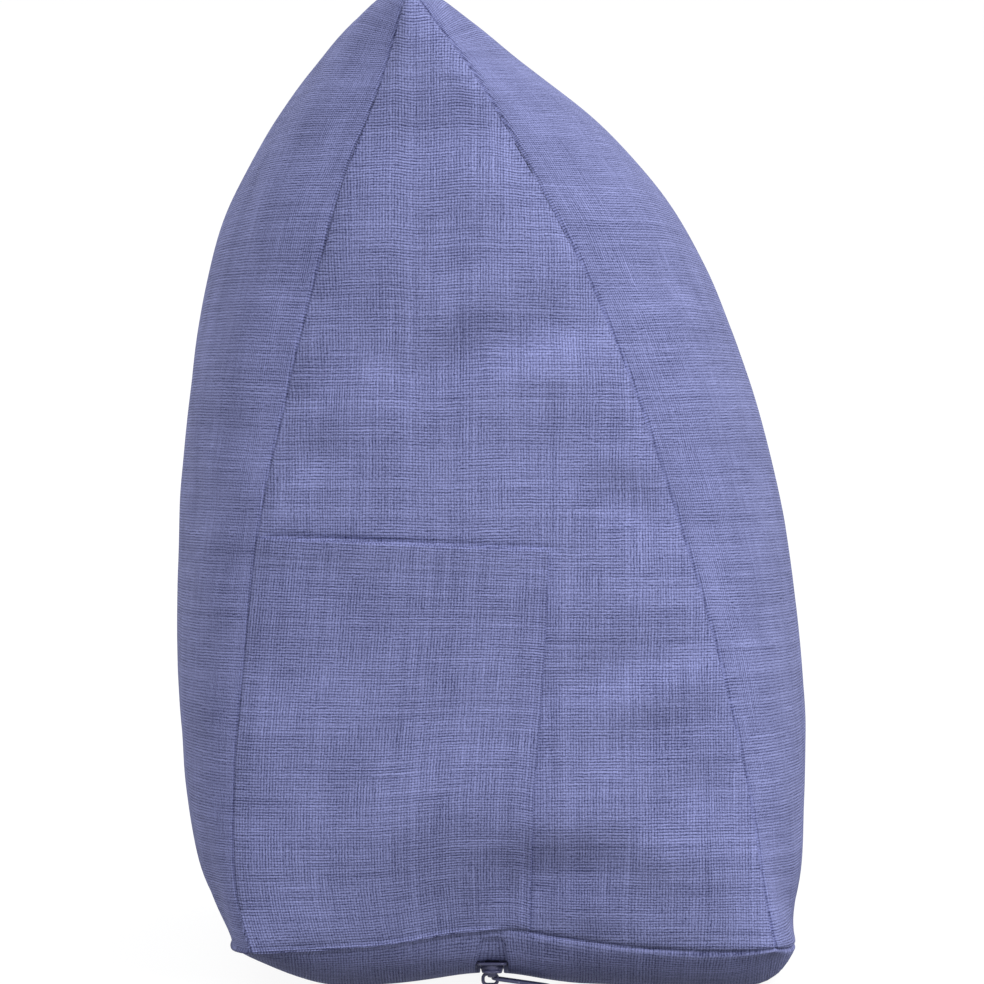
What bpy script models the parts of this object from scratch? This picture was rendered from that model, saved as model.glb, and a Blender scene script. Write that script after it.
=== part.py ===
"""Wedge back cushion: one stuffed wedge with a patch pocket on its near end and a zip in its base.

Metres, +Z up. The cushion stands on its base, its length runs along Y, the pocket is on the -Y end,
the steep back is on -X and the long leaning side on +X. The origin is on the floor under the middle.
"""

import math

import bmesh
import bpy
import numpy as np
from mathutils import Vector
from mathutils.bvhtree import BVHTree

# Driving dimensions
LENGTH = 0.450            # between the seams of the two end panels
HEIGHT = 0.460            # floor to ridge, before the cloth is softened by 3 mm
END_DOME = 0.022          # how far the stuffing pushes each end panel out
SEAM_PULL = 0.009         # how far the end seams are drawn in between their corners
SEAM_GROOVE = 0.0018      # depth of the crease along each end seam
GAP = 0.0003              # between neighbouring pieces

# Rows of the end panel's seam and of the fullest section half way along, from the base up:
# seam height, back seam x, front seam x, then section height, back section x, front section x
SIDE_COLUMNS = ("seam_z", "back_seam", "front_seam", "crown_z", "back_crown", "front_crown")
SIDE_ROWS = (
    (0.0190, -0.1055, 0.1265, 0.0180, -0.1170, 0.1440),
    (0.0485, -0.1130, 0.1210, 0.0460, -0.1385, 0.1480),
    (0.0955, -0.1135, 0.1135, 0.0965, -0.1480, 0.1505),
    (0.1535, -0.1090, 0.0995, 0.1535, -0.1515, 0.1480),
    (0.2085, -0.1030, 0.0830, 0.2095, -0.1505, 0.1410),
    (0.2605, -0.0920, 0.0655, 0.2645, -0.1465, 0.1285),
    (0.3125, -0.0790, 0.0445, 0.3165, -0.1390, 0.1100),
    (0.3585, -0.0655, 0.0210, 0.3605, -0.1265, 0.0870),
    (0.3945, -0.0520, 0.0000, 0.3995, -0.1055, 0.0515),
    (0.4235, -0.0430, -0.0190, 0.4365, -0.0750, 0.0000),
)
SHOULDER_ROW = 7          # the row where the top of the end panel's grid starts
RIDGE_SEAM = (-0.0335, 0.4385)
RIDGE_CROWN = (-0.0420, HEIGHT)

# Rows of the base from the back corner to the front one: seam x, seam height, section x, section height.
# The two lobes rest on the floor, and the channel between them holds the zip.
BASE_COLUMNS = ("seam_x", "seam_z", "crown_x", "crown_z")
FLOOR_PRESS = -0.003      # the lobes are pressed flat against the floor by this much
CHANNEL_TOP = 0.0128
BASE_ROWS = (
    (-0.086, 0.0200, -0.084, FLOOR_PRESS),
    (-0.048, 0.0220, -0.055, FLOOR_PRESS),
    (-0.022, 0.0265, -0.030, 0.0035),
    (-0.009, 0.0280, -0.012, CHANNEL_TOP),
    (0.009, 0.0280, 0.012, CHANNEL_TOP),
    (0.022, 0.0255, 0.030, 0.0035),
    (0.058, 0.0205, 0.058, FLOOR_PRESS),
    (0.100, 0.0180, 0.124, FLOOR_PRESS),
)

# Divisions of the cushion's grid
ACROSS = 18
ALONG = 22
UPWARD = 20
END_CROWDING = 0.4        # how much closer the grid lines stand near the end seams

# Soft folds on the near end: from x, z to x, z, half width and depth (a ridge has a negative depth)
FOLD_COLUMNS = ("x0", "z0", "x1", "z1", "half_width", "depth")
FOLDS = (
    (-0.0360, 0.2735, 0.0580, 0.3015, 0.0130, 0.0035),
    (0.0000, 0.2715, 0.0620, 0.2835, 0.0110, -0.0022),
    (0.0520, 0.2295, 0.0800, 0.2235, 0.0120, 0.0040),
    (0.0500, 0.1995, 0.0780, 0.2175, 0.0100, -0.0022),
    (0.0300, 0.1335, 0.1040, 0.1575, 0.0110, 0.0035),
    (0.0440, 0.1275, 0.1060, 0.1395, 0.0090, -0.0024),
    (0.0560, 0.1095, 0.1120, 0.1315, 0.0100, 0.0032),
    (0.0800, 0.0835, 0.1200, 0.1075, 0.0110, 0.0030),
    (0.0160, 0.0535, 0.0520, 0.0695, 0.0100, 0.0045),
    (0.0220, 0.0435, 0.0500, 0.0555, 0.0090, -0.0026),
)
FOLD_REACH = 0.070        # folds fade out this far behind the near seam

# Patch pocket on the near end, in the plane of that end
POCKET_TOP_LEFT = (-0.110, 0.2020)
POCKET_TOP_RIGHT = (0.024, 0.1970)
POCKET_LOW_RIGHT = (0.0165, 0.0235)
POCKET_SEAM_CLEAR = 0.002  # the pocket's edge stops this far short of the seams that catch it
POCKET_THICK = 0.0012
POCKET_HEM = 0.011
POCKET_HEM_STEP = 0.0006
POCKET_HEM_THICK = 0.0024

# Zip in the base, with its slider at the near end
ZIP_HALF_LENGTH = 0.2200
ZIP_LEVEL = 0.0124        # top of the coil and the tapes along the channel
ZIP_LEVEL_HALF = 0.2120   # past this the tapes rise to the end seam
TAPE_INNER = 0.0031
TAPE_WIDTH = 0.0085
TAPE_THICK = 0.0008
COIL_HALF_WIDTH = 0.0028
COIL_THICK = (0.0012, 0.0018, 0.0015, 0.0018, 0.0012)
COIL_NEAR_END = -0.2020
COIL_FAR_END = 0.2085
ZIP_ROW = 0.0085          # spacing of the points along the zip
SLIDER_NEAR_END = -0.2085
SLIDER_LENGTH = 0.0170
SLIDER_WIDTH = 0.0136
SLIDER_TAIL_WIDTH = 0.0100
SLIDER_PLATE = 0.0012
SLIDER_CORNER = 0.0022
SLIDER_WAIST = 0.55       # where the slider starts to narrow, as a share of its length
POST_WIDTH = 0.0036
POST_LENGTH = 0.0044
POST_INSET = 0.0008
BAIL_WIRE = 0.0012
BAIL_REACH = 0.0026       # from the plate to the outside of the bail
BAIL_HALF_SPAN = 0.0042
LINK_WIRE = 0.0008
LINK_LEFT = -0.0028
LINK_RIGHT = 0.0052
LINK_LOW = 0.0015
LINK_BEND = 0.0018
PULLER_LENGTH = 0.0270
PULLER_WIDTH = 0.0076
PULLER_THICK = 0.0014
EYE_LENGTH = 0.0024
EYE_WIDTH = 0.0040
PULLER_RIM = 0.0016
PULLER_RISE = 0.0024      # how much higher its eye lies than its free end


def clear_scene():
    """Take every object out of the open file."""
    for item in list(bpy.data.objects):
        bpy.data.objects.remove(item, do_unlink=True)


def cloth(name, colour, roughness=0.9):
    """Return a plain woven cloth material."""
    material = bpy.data.materials.new(name)
    material.use_nodes = True
    shader = material.node_tree.nodes["Principled BSDF"]
    shader.inputs["Base Color"].default_value = (*colour, 1.0)
    shader.inputs["Roughness"].default_value = roughness
    shader.inputs["Metallic"].default_value = 0.0
    return material


def metal(name, colour, roughness=0.35):
    """Return a painted or plated metal material."""
    material = cloth(name, colour, roughness)
    material.node_tree.nodes["Principled BSDF"].inputs["Metallic"].default_value = 0.8
    return material


def place(name, mesh_data, material, smooth_angle=40.0):
    """Turn a bmesh into a named object with one material."""
    mesh = bpy.data.meshes.new(name)
    bmesh.ops.recalc_face_normals(mesh_data, faces=mesh_data.faces)
    mesh_data.to_mesh(mesh)
    mesh_data.free()
    mesh.shade_smooth()
    mesh.set_sharp_from_angle(angle=math.radians(smooth_angle))
    mesh.materials.append(material)
    item = bpy.data.objects.new(name, mesh)
    bpy.context.collection.objects.link(item)
    return item


def column(rows, columns, name):
    """Return one named column of a table."""
    return [row[columns.index(name)] for row in rows]


def spline(points, position, closed=False):
    """Return the point at a row position on the Catmull-Rom curve through the points."""
    count = len(points)
    row = min(int(position), count - 1 if closed else count - 2)
    part = position - row

    def point(index):
        if closed:
            return points[index % count]
        return points[min(max(index, 0), count - 1)]

    before, start, end, after = (point(row + step) for step in (-1, 0, 1, 2))
    return 0.5 * (2 * start + (end - before) * part
                  + (2 * before - 5 * start + 4 * end - after) * part ** 2
                  + (3 * start - before - 3 * end + after) * part ** 3)


class Girth:
    """The loop of the wrap and the base, at the end seams and at the fullest section."""

    def __init__(self):
        side = {name: column(SIDE_ROWS, SIDE_COLUMNS, name) for name in SIDE_COLUMNS}
        base = {name: column(BASE_ROWS, BASE_COLUMNS, name) for name in BASE_COLUMNS}
        up_seam = list(zip(side["back_seam"], side["seam_z"]))
        down_seam = list(zip(side["front_seam"], side["seam_z"]))[::-1]
        up_crown = list(zip(side["back_crown"], side["crown_z"]))
        down_crown = list(zip(side["front_crown"], side["crown_z"]))[::-1]
        under_seam = list(zip(base["seam_x"], base["seam_z"]))[::-1]
        under_crown = list(zip(base["crown_x"], base["crown_z"]))[::-1]
        self.wrap_rows = 2 * len(SIDE_ROWS) + 1
        wrap_seam = up_seam + [RIDGE_SEAM] + down_seam
        wrap_crown = up_crown + [RIDGE_CROWN] + down_crown
        self.seam_wrap = np.array(wrap_seam)
        self.seam_base = np.array([wrap_seam[-1]] + under_seam + [wrap_seam[0]])
        self.crown = np.array(wrap_crown + under_crown)
        last = self.wrap_rows - 1
        self.corners = {
            "back": (0, SHOULDER_ROW),
            "crest": (SHOULDER_ROW, last - SHOULDER_ROW),
            "front": (last, last - SHOULDER_ROW),
            "base": (len(self.crown), last),
        }
        self.crown_steps = self.measure()

    def measure(self):
        """Return the length along the fullest section at each row, closed round to the start."""
        loop = np.vstack([self.crown, self.crown[:1]])
        steps = np.hypot(*np.diff(loop, axis=0).T)
        return np.concatenate([[0.0], np.cumsum(steps)])

    def row_at(self, side, fraction):
        """Return the row position at a fraction of one side, by its length."""
        start, end = self.corners[side]
        goal = (1 - fraction) * self.crown_steps[start] + fraction * self.crown_steps[end]
        return float(np.interp(goal, self.crown_steps, np.arange(len(self.crown_steps))))

    def seam(self, row):
        """Return x, z on the end seam at a row position."""
        last = self.wrap_rows - 1
        if row <= last:
            return spline(self.seam_wrap, row)
        return spline(self.seam_base, row - last)

    def section(self, row):
        """Return x, z on the fullest section at a row position."""
        return spline(self.crown, row, closed=True)


def fullness(t, flat=False):
    """Return how far the wrap has swelled from its seam (0) to its fullest (1)."""
    if flat:
        return math.sqrt(max(0.0, 1 - abs(t) ** 8))
    return max(0.0, 1 - abs(t) ** 2.6) ** 0.6


def seam_depth(point):
    """Return the distance from the middle to the end seam, drawn in between the corners."""
    rise = min(max((point[1] - 0.015) / (RIDGE_SEAM[1] - 0.015), 0.0), 1.0)
    return LENGTH / 2 - SEAM_PULL * math.sin(math.pi * rise ** 0.8)


def wrap_point(girth, row, t, flat):
    """Return a point on the wrap or the base at a row position and a place along the length."""
    seam = girth.seam(row)
    section = girth.section(row)
    swell = fullness(t, flat)
    x, z = seam + (section - seam) * swell
    return Vector((x, t * seam_depth(seam), max(z, 0.0)))


def end_point(girth, u, w, side):
    """Return a point on an end panel: a blend of its four seams, pushed out by the stuffing."""
    across = (u + 1) / 2
    upward = (w + 1) / 2
    left = girth.seam(girth.row_at("back", upward))
    right = girth.seam(girth.row_at("front", upward))
    low = girth.seam(girth.row_at("base", across))
    high = girth.seam(girth.row_at("crest", across))
    corner = {
        (a, b): girth.seam(girth.row_at("back" if a == 0 else "front", b))
        for a in (0, 1) for b in (0, 1)
    }
    ruled_across = (1 - across) * left + across * right
    ruled_upward = (1 - upward) * low + upward * high
    ruled_corners = ((1 - across) * ((1 - upward) * corner[0, 0] + upward * corner[0, 1])
                     + across * ((1 - upward) * corner[1, 0] + upward * corner[1, 1]))
    x, z = ruled_across + ruled_upward - ruled_corners
    dome = END_DOME * ((1 - abs(u) ** 2.2) * (1 - abs(w) ** 2.4)) ** 0.7
    return Vector((x, side * (seam_depth((x, z)) + dome), z))


def crowded(position):
    """Return a grid line's place, closer to its neighbours near the ends."""
    return (1 - END_CROWDING) * position + END_CROWDING * math.sin(math.pi / 2 * position)


def fold_shift(x, z):
    """Return how deep the folds press in at a place on the near end."""
    shift = 0.0
    for row in FOLDS:
        fold = dict(zip(FOLD_COLUMNS, row))
        start = Vector((fold["x0"], fold["z0"]))
        run = Vector((fold["x1"], fold["z1"])) - start
        along = (Vector((x, z)) - start).dot(run) / run.length_squared
        inside = min(max(along, 0.0), 1.0)
        nearest = start + run * inside
        reach = (Vector((x, z)) - nearest).length / fold["half_width"]
        shift += fold["depth"] * math.exp(-reach ** 2) * (0.55 + 0.45 * math.sin(math.pi * inside))
    return shift


def cushion_mesh():
    """Return the stuffed wedge as one closed grid with its seams, lobes and folds."""
    girth = Girth()
    mesh = bmesh.new()
    bmesh.ops.create_cube(mesh, size=2.0)
    for axis, count in ((0, ACROSS), (1, ALONG), (2, UPWARD)):
        running = [edge for edge in mesh.edges
                   if abs((edge.verts[0].co - edge.verts[1].co)[axis]) > 1e-6]
        bmesh.ops.subdivide_edges(mesh, edges=running, cuts=count - 1, use_grid_fill=True)
    for face in mesh.faces:
        face.material_index = 1 if face.calc_center_median().y < -1 + 1e-5 else 0
    seam_verts = []
    free_verts = []
    for vert in mesh.verts:
        u, v, w = vert.co
        t = crowded(v)
        on_end = abs(v) > 1 - 1e-5
        on_wrap = max(abs(u), abs(w)) > 1 - 1e-5
        if on_end and not on_wrap:
            vert.co = end_point(girth, u, w, math.copysign(1, v))
            free_verts.append(vert)
            continue
        if abs(u) > 1 - 1e-5:
            row = girth.row_at("back" if u < 0 else "front", (w + 1) / 2)
            flat = w < -1 + 1e-5
        else:
            row = girth.row_at("crest" if w > 0 else "base", (u + 1) / 2)
            flat = w < 0
        vert.co = wrap_point(girth, row, t, flat)
        (seam_verts if on_end else free_verts).append(vert)
    bmesh.ops.recalc_face_normals(mesh, faces=mesh.faces)
    soften(mesh, free_verts)
    mesh.normal_update()
    shifts = []
    for vert in mesh.verts:
        near = min(max((-vert.co.y - LENGTH / 2 + FOLD_REACH) / FOLD_REACH, 0.0), 1.0)
        shifts.append(near * fold_shift(vert.co.x, vert.co.z))
    for vert in seam_verts:
        shifts[vert.index] += SEAM_GROOVE
    for vert in mesh.verts:
        vert.co -= vert.normal * shifts[vert.index]
        vert.co.z = max(vert.co.z, 0.0)
    bmesh.ops.triangulate(mesh, faces=mesh.faces)
    return mesh


def soften(mesh, verts, rounds=3):
    """Smooth the free points a little and leave the floor contact and the seams where they are."""
    for _ in range(rounds):
        loose = [vert for vert in verts if vert.co.z > 1e-6]
        bmesh.ops.smooth_vert(mesh, verts=loose, factor=0.4,
                              use_axis_x=True, use_axis_y=True, use_axis_z=True)


def cut_cloth(mesh, start, end, drop=True):
    """Cut a sheet along a line in the end's plane; what lies to the left of the line may go."""
    run = Vector((end[0] - start[0], 0.0, end[1] - start[1])).normalized()
    bmesh.ops.bisect_plane(mesh, geom=mesh.verts[:] + mesh.edges[:] + mesh.faces[:], dist=1e-6,
                           plane_co=Vector((start[0], 0.0, start[1])),
                           plane_no=Vector((-run.z, 0.0, run.x)), clear_outer=drop)


def below_top(drop):
    """Return the pocket's top line moved down by a distance."""
    left = Vector((*POCKET_TOP_LEFT,))
    right = Vector((*POCKET_TOP_RIGHT,))
    return left - Vector((0.0, drop)), right - Vector((0.0, drop))


def pocket_mesh(cushion):
    """Return the pocket: the near end's own shape cut to the pocket, lifted and given a wall."""
    mesh = cushion.copy()
    inner = [face for face in mesh.faces if face.material_index != 1]
    bmesh.ops.delete(mesh, geom=inner, context="FACES")
    draw_back_from_seams(mesh, POCKET_SEAM_CLEAR)
    cut_cloth(mesh, POCKET_TOP_LEFT, POCKET_TOP_RIGHT)
    cut_cloth(mesh, POCKET_TOP_RIGHT, POCKET_LOW_RIGHT)
    hem_low = below_top(POCKET_HEM)
    cut_cloth(mesh, *hem_low, drop=False)
    cut_cloth(mesh, *below_top(POCKET_HEM - POCKET_HEM_STEP), drop=False)
    bmesh.ops.dissolve_degenerate(mesh, edges=mesh.edges, dist=1e-5)
    bmesh.ops.triangulate(mesh, faces=mesh.faces)
    mesh.normal_update()
    lifts = {vert.co.to_tuple(6): vert.normal.copy() for vert in mesh.verts}
    grown = bmesh.ops.extrude_face_region(mesh, geom=mesh.faces[:], use_keep_orig=True)
    outer = {item for item in grown["geom"] if isinstance(item, bmesh.types.BMVert)}
    slope = (hem_low[1].y - hem_low[0].y) / (hem_low[1].x - hem_low[0].x)
    for vert in mesh.verts:
        hem_height = hem_low[0].y + slope * (vert.co.x - hem_low[0].x) + POCKET_HEM_STEP / 2
        wall = POCKET_HEM_THICK if vert.co.z > hem_height else POCKET_THICK
        vert.co += lifts[vert.co.to_tuple(6)] * (GAP + (wall if vert in outer else 0.0))
    return mesh


def draw_back_from_seams(mesh, distance):
    """Move a sheet's border inwards along its own edges."""
    border = {vert for vert in mesh.verts if vert.is_boundary}
    moves = {}
    for vert in border:
        inside = [edge.other_vert(vert) for edge in vert.link_edges
                  if edge.other_vert(vert) not in border]
        if inside:
            nearest = min(inside, key=lambda other: (other.co - vert.co).length)
            moves[vert] = (nearest.co - vert.co).normalized() * distance
    for vert, move in moves.items():
        vert.co += move


def under_height(tree, x, y):
    """Return the height of the cushion's underside at a place."""
    hit = tree.ray_cast(Vector((x, y, -0.01)), Vector((0.0, 0.0, 1.0)))[0]
    return hit.z


def zip_top(tree, x, y):
    """Return the top of the zip: level along the channel, rising to the seams at its ends."""
    ceiling = under_height(tree, x, y) - GAP
    rise = min(max((abs(y) - ZIP_LEVEL_HALF) / (ZIP_HALF_LENGTH - ZIP_LEVEL_HALF), 0.0), 1.0)
    level = min(ceiling, ZIP_LEVEL)
    return level + (ceiling - level) * rise ** 2 * (3 - 2 * rise)


def zip_strip(tree, near, far, columns):
    """Return a strip that runs along the zip; columns are x and thickness across it."""
    mesh = bmesh.new()
    rows = round((far - near) / ZIP_ROW)
    bmesh.ops.create_grid(mesh, x_segments=len(columns) - 1, y_segments=rows, size=0.5)
    grown = bmesh.ops.extrude_face_region(mesh, geom=mesh.faces[:], use_keep_orig=True)
    low = {item for item in grown["geom"] if isinstance(item, bmesh.types.BMVert)}
    for vert in mesh.verts:
        x, thick = columns[round((vert.co.x + 0.5) * (len(columns) - 1))]
        y = near + (vert.co.y + 0.5) * (far - near)
        vert.co = Vector((x, y, zip_top(tree, x, y) - (thick if vert in low else 0.0)))
    return mesh


def plate(outline, low, high):
    """Return a flat plate with an outline in x and y."""
    mesh = bmesh.new()
    face = mesh.faces.new([mesh.verts.new((x, y, low)) for x, y in outline])
    grown = bmesh.ops.extrude_face_region(mesh, geom=[face], use_keep_orig=True)
    top = [item for item in grown["geom"] if isinstance(item, bmesh.types.BMVert)]
    bmesh.ops.translate(mesh, verts=top, vec=Vector((0.0, 0.0, high - low)))
    return mesh


def wire(name, points, thickness, closed, material):
    """Return an object of round wire along a route."""
    curve = bpy.data.curves.new(name, "CURVE")
    curve.dimensions = "3D"
    curve.bevel_depth = thickness / 2
    curve.bevel_resolution = 2
    curve.use_fill_caps = not closed
    route = curve.splines.new("POLY")
    route.points.add(len(points) - 1)
    for knot, point in zip(route.points, points):
        knot.co = (*point, 1.0)
    route.use_cyclic_u = closed
    curve.materials.append(material)
    item = bpy.data.objects.new(name, curve)
    bpy.context.collection.objects.link(item)
    return item


def combine(item, tool, operation):
    """Join a helper shape to an object, or cut it away, and keep the helper as a wire guide."""
    step = item.modifiers.new(tool.name, "BOOLEAN")
    step.operation = operation
    step.object = tool
    step.solver = "EXACT"
    tool.hide_render = True
    tool.display_type = "WIRE"


def bail_route(middle_y, plate_low):
    """Return the route of the bail, a low arch under the slider's plate."""
    reach = BAIL_REACH - BAIL_WIRE / 2
    foot = 0.0006
    turns = 6
    points = [(0.0, middle_y - BAIL_HALF_SPAN, plate_low + foot)]
    for step in range(turns + 1):
        angle = math.pi * step / turns
        across = math.copysign(abs(math.cos(angle)) ** 0.5, math.cos(angle))
        drop = math.sin(angle) ** 0.5 if 0 < step < turns else 0.0
        points.append((0.0, middle_y - BAIL_HALF_SPAN * across, plate_low - reach * drop))
    points.append((0.0, middle_y + BAIL_HALF_SPAN, plate_low + foot))
    return points


def slider(material):
    """Build the slider: two plates, the post between them and the bail."""
    half = SLIDER_WIDTH / 2
    tail = SLIDER_TAIL_WIDTH / 2
    near = SLIDER_NEAR_END
    far = near + SLIDER_LENGTH
    waist = near + SLIDER_WAIST * SLIDER_LENGTH
    corner = SLIDER_CORNER
    outline = [(-half + corner, near), (half - corner, near), (half, near + corner), (half, waist),
               (tail, far - corner), (tail - corner, far), (corner - tail, far), (-tail, far - corner),
               (-half, waist), (-half, near + corner)]
    coil_low = ZIP_LEVEL - max(COIL_THICK)
    lower = (coil_low - GAP - SLIDER_PLATE, coil_low - GAP)
    upper = (ZIP_LEVEL + GAP, ZIP_LEVEL + GAP + SLIDER_PLATE)
    post_half = POST_WIDTH / 2
    post_near = near + POST_INSET
    post_middle = post_near + POST_LENGTH / 2
    post_outline = [(0.0, post_near), (post_half, post_middle), (0.0, post_near + POST_LENGTH),
                    (-post_half, post_middle)]
    sunk = SLIDER_PLATE / 2
    body = place("zip_slider", plate(outline, *lower), material)
    helpers = [
        place("slider_upper_plate", plate(outline, *upper), material),
        place("slider_post", plate(post_outline, lower[1] - sunk, upper[0] + sunk), material),
        wire_solid("slider_bail", bail_route((near + far) / 2, lower[0]), BAIL_WIRE, material),
    ]
    for helper in helpers:
        combine(body, helper, "UNION")
    return lower[0], (near + far) / 2


def wire_solid(name, points, thickness, material):
    """Return a mesh object of round wire, for joining to another solid."""
    guide = wire(name + "_route", points, thickness, False, material)
    bpy.context.view_layer.update()
    mesh = bpy.data.meshes.new_from_object(guide.evaluated_get(bpy.context.evaluated_depsgraph_get()))
    bpy.data.objects.remove(guide, do_unlink=True)
    solid = bmesh.new()
    solid.from_mesh(mesh)
    bmesh.ops.remove_doubles(solid, verts=solid.verts, dist=1e-6)
    return place(name, solid, material)


def link(plate_low, middle_y, material):
    """Build the wire link that hangs through the bail, seen face on from the near end."""
    high = plate_low - GAP - LINK_WIRE / 2
    bend = LINK_BEND
    steps = 4
    corners = [(LINK_RIGHT - bend, high - bend, 90), (LINK_LEFT + bend, high - bend, 180),
               (LINK_LEFT + bend, LINK_LOW + bend, 270), (LINK_RIGHT - bend, LINK_LOW + bend, 360)]
    points = []
    for x, z, end_angle in corners:
        for step in range(steps + 1):
            angle = math.radians(end_angle - 90 + 90 * step / steps)
            points.append((x + bend * math.cos(angle), middle_y, z + bend * math.sin(angle)))
    wire("zip_link", points, LINK_WIRE, True, material)


def puller(middle_y, material):
    """Build the pull tab, its eye round the link and its free end on the floor."""
    half = PULLER_WIDTH / 2
    end_round = 6
    outline = []
    for centre, start in ((PULLER_LENGTH - half, -90), (half, 90)):
        for step in range(end_round + 1):
            angle = math.radians(start + 180 * step / end_round)
            outline.append((centre + half * math.cos(angle), half * math.sin(angle)))
    body = place("zip_puller", plate(outline, 0.0, PULLER_THICK), material)
    eye_near = PULLER_RIM
    eye_far = PULLER_RIM + EYE_LENGTH
    eye_half = EYE_WIDTH / 2
    eye = [(eye_near, -eye_half), (eye_far, -eye_half), (eye_far, eye_half), (eye_near, eye_half)]
    cutter = place("puller_eye", plate(eye, -PULLER_THICK, 2 * PULLER_THICK), material)
    tilt = math.asin(PULLER_RISE / PULLER_LENGTH)
    for item in (body, cutter):
        item.location = (LINK_RIGHT - LINK_WIRE / 2 - GAP - eye_near, middle_y, GAP + PULLER_RISE)
        item.rotation_euler = (0.0, tilt, 0.0)
    combine(body, cutter, "DIFFERENCE")


def build():
    """Build every piece of the cushion."""
    clear_scene()
    body_cloth = cloth("woven_lavender", (0.185, 0.195, 0.365))
    pocket_cloth = cloth("woven_lavender_pocket", (0.165, 0.175, 0.345))
    tape_cloth = cloth("zip_tape_weave", (0.075, 0.080, 0.150), 0.8)
    coil_plastic = cloth("zip_coil_plastic", (0.085, 0.090, 0.160), 0.45)
    slider_metal = metal("zip_slider_paint", (0.050, 0.050, 0.110))
    link_metal = metal("zip_link_wire", (0.040, 0.040, 0.080))
    puller_metal = metal("zip_puller_paint", (0.045, 0.042, 0.100))

    shape = cushion_mesh()
    tree = BVHTree.FromBMesh(shape)
    pocket_shape = pocket_mesh(shape)
    for face in shape.faces:
        face.material_index = 0
    place("cushion", shape, body_cloth)
    place("pocket", pocket_shape, pocket_cloth)

    outer = TAPE_INNER + TAPE_WIDTH
    for name, side in (("zip_tape_back", -1), ("zip_tape_front", 1)):
        columns = [(side * x, TAPE_THICK) for x in (TAPE_INNER, (TAPE_INNER + outer) / 2, outer)]
        place(name, zip_strip(tree, -ZIP_HALF_LENGTH, ZIP_HALF_LENGTH, columns), tape_cloth)
    spots = np.linspace(-COIL_HALF_WIDTH, COIL_HALF_WIDTH, len(COIL_THICK))
    coil = zip_strip(tree, COIL_NEAR_END, COIL_FAR_END, list(zip(spots, COIL_THICK)))
    place("zip_coil", coil, coil_plastic)
    plate_low, slider_y = slider(slider_metal)
    link(plate_low, slider_y, link_metal)
    puller(slider_y, puller_metal)


build()
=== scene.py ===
"""Looks of the wedge back cushion: its stuffed cover, the side pocket and the zip in its base.

The cushion stands on its base. +X is the long leaning side, -X the steep back, and the pocket is on the
end that faces -Y. Everything is in metres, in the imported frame.
"""

import logging
import math
from dataclasses import dataclass
from enum import Enum
from typing import Iterable, Sequence

import bmesh
import bpy
import numpy as np
from mathutils import Matrix, Vector, noise
from mathutils.bvhtree import BVHTree

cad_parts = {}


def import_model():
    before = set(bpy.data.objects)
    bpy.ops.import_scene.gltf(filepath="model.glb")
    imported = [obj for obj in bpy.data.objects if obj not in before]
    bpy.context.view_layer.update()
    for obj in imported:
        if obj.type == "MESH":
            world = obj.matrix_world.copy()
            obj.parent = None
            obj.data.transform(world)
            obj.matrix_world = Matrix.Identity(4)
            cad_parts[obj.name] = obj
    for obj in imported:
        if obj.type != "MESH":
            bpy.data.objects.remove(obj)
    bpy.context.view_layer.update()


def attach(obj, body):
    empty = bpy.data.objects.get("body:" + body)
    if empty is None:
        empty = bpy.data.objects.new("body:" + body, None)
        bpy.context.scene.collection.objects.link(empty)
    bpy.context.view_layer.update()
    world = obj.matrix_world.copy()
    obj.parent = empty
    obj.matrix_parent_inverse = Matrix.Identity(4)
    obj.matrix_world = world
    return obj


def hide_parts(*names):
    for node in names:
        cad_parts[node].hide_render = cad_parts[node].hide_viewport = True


LOG = logging.getLogger("wedge_cushion")
ROOT = "root"
UV_NAME = "weave"
Socket = bpy.types.NodeSocket
Pair = tuple[float, float]
EDGE = 1 - 1e-5  # past this a coordinate lies on the side of the cube that the cover starts from


class Panel(Enum):
    """The cut pieces of the cover; the value marks a face while the cover is built."""

    NEAR_END = 0
    FAR_END = 1
    WRAP = 2
    BASE = 3


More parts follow.
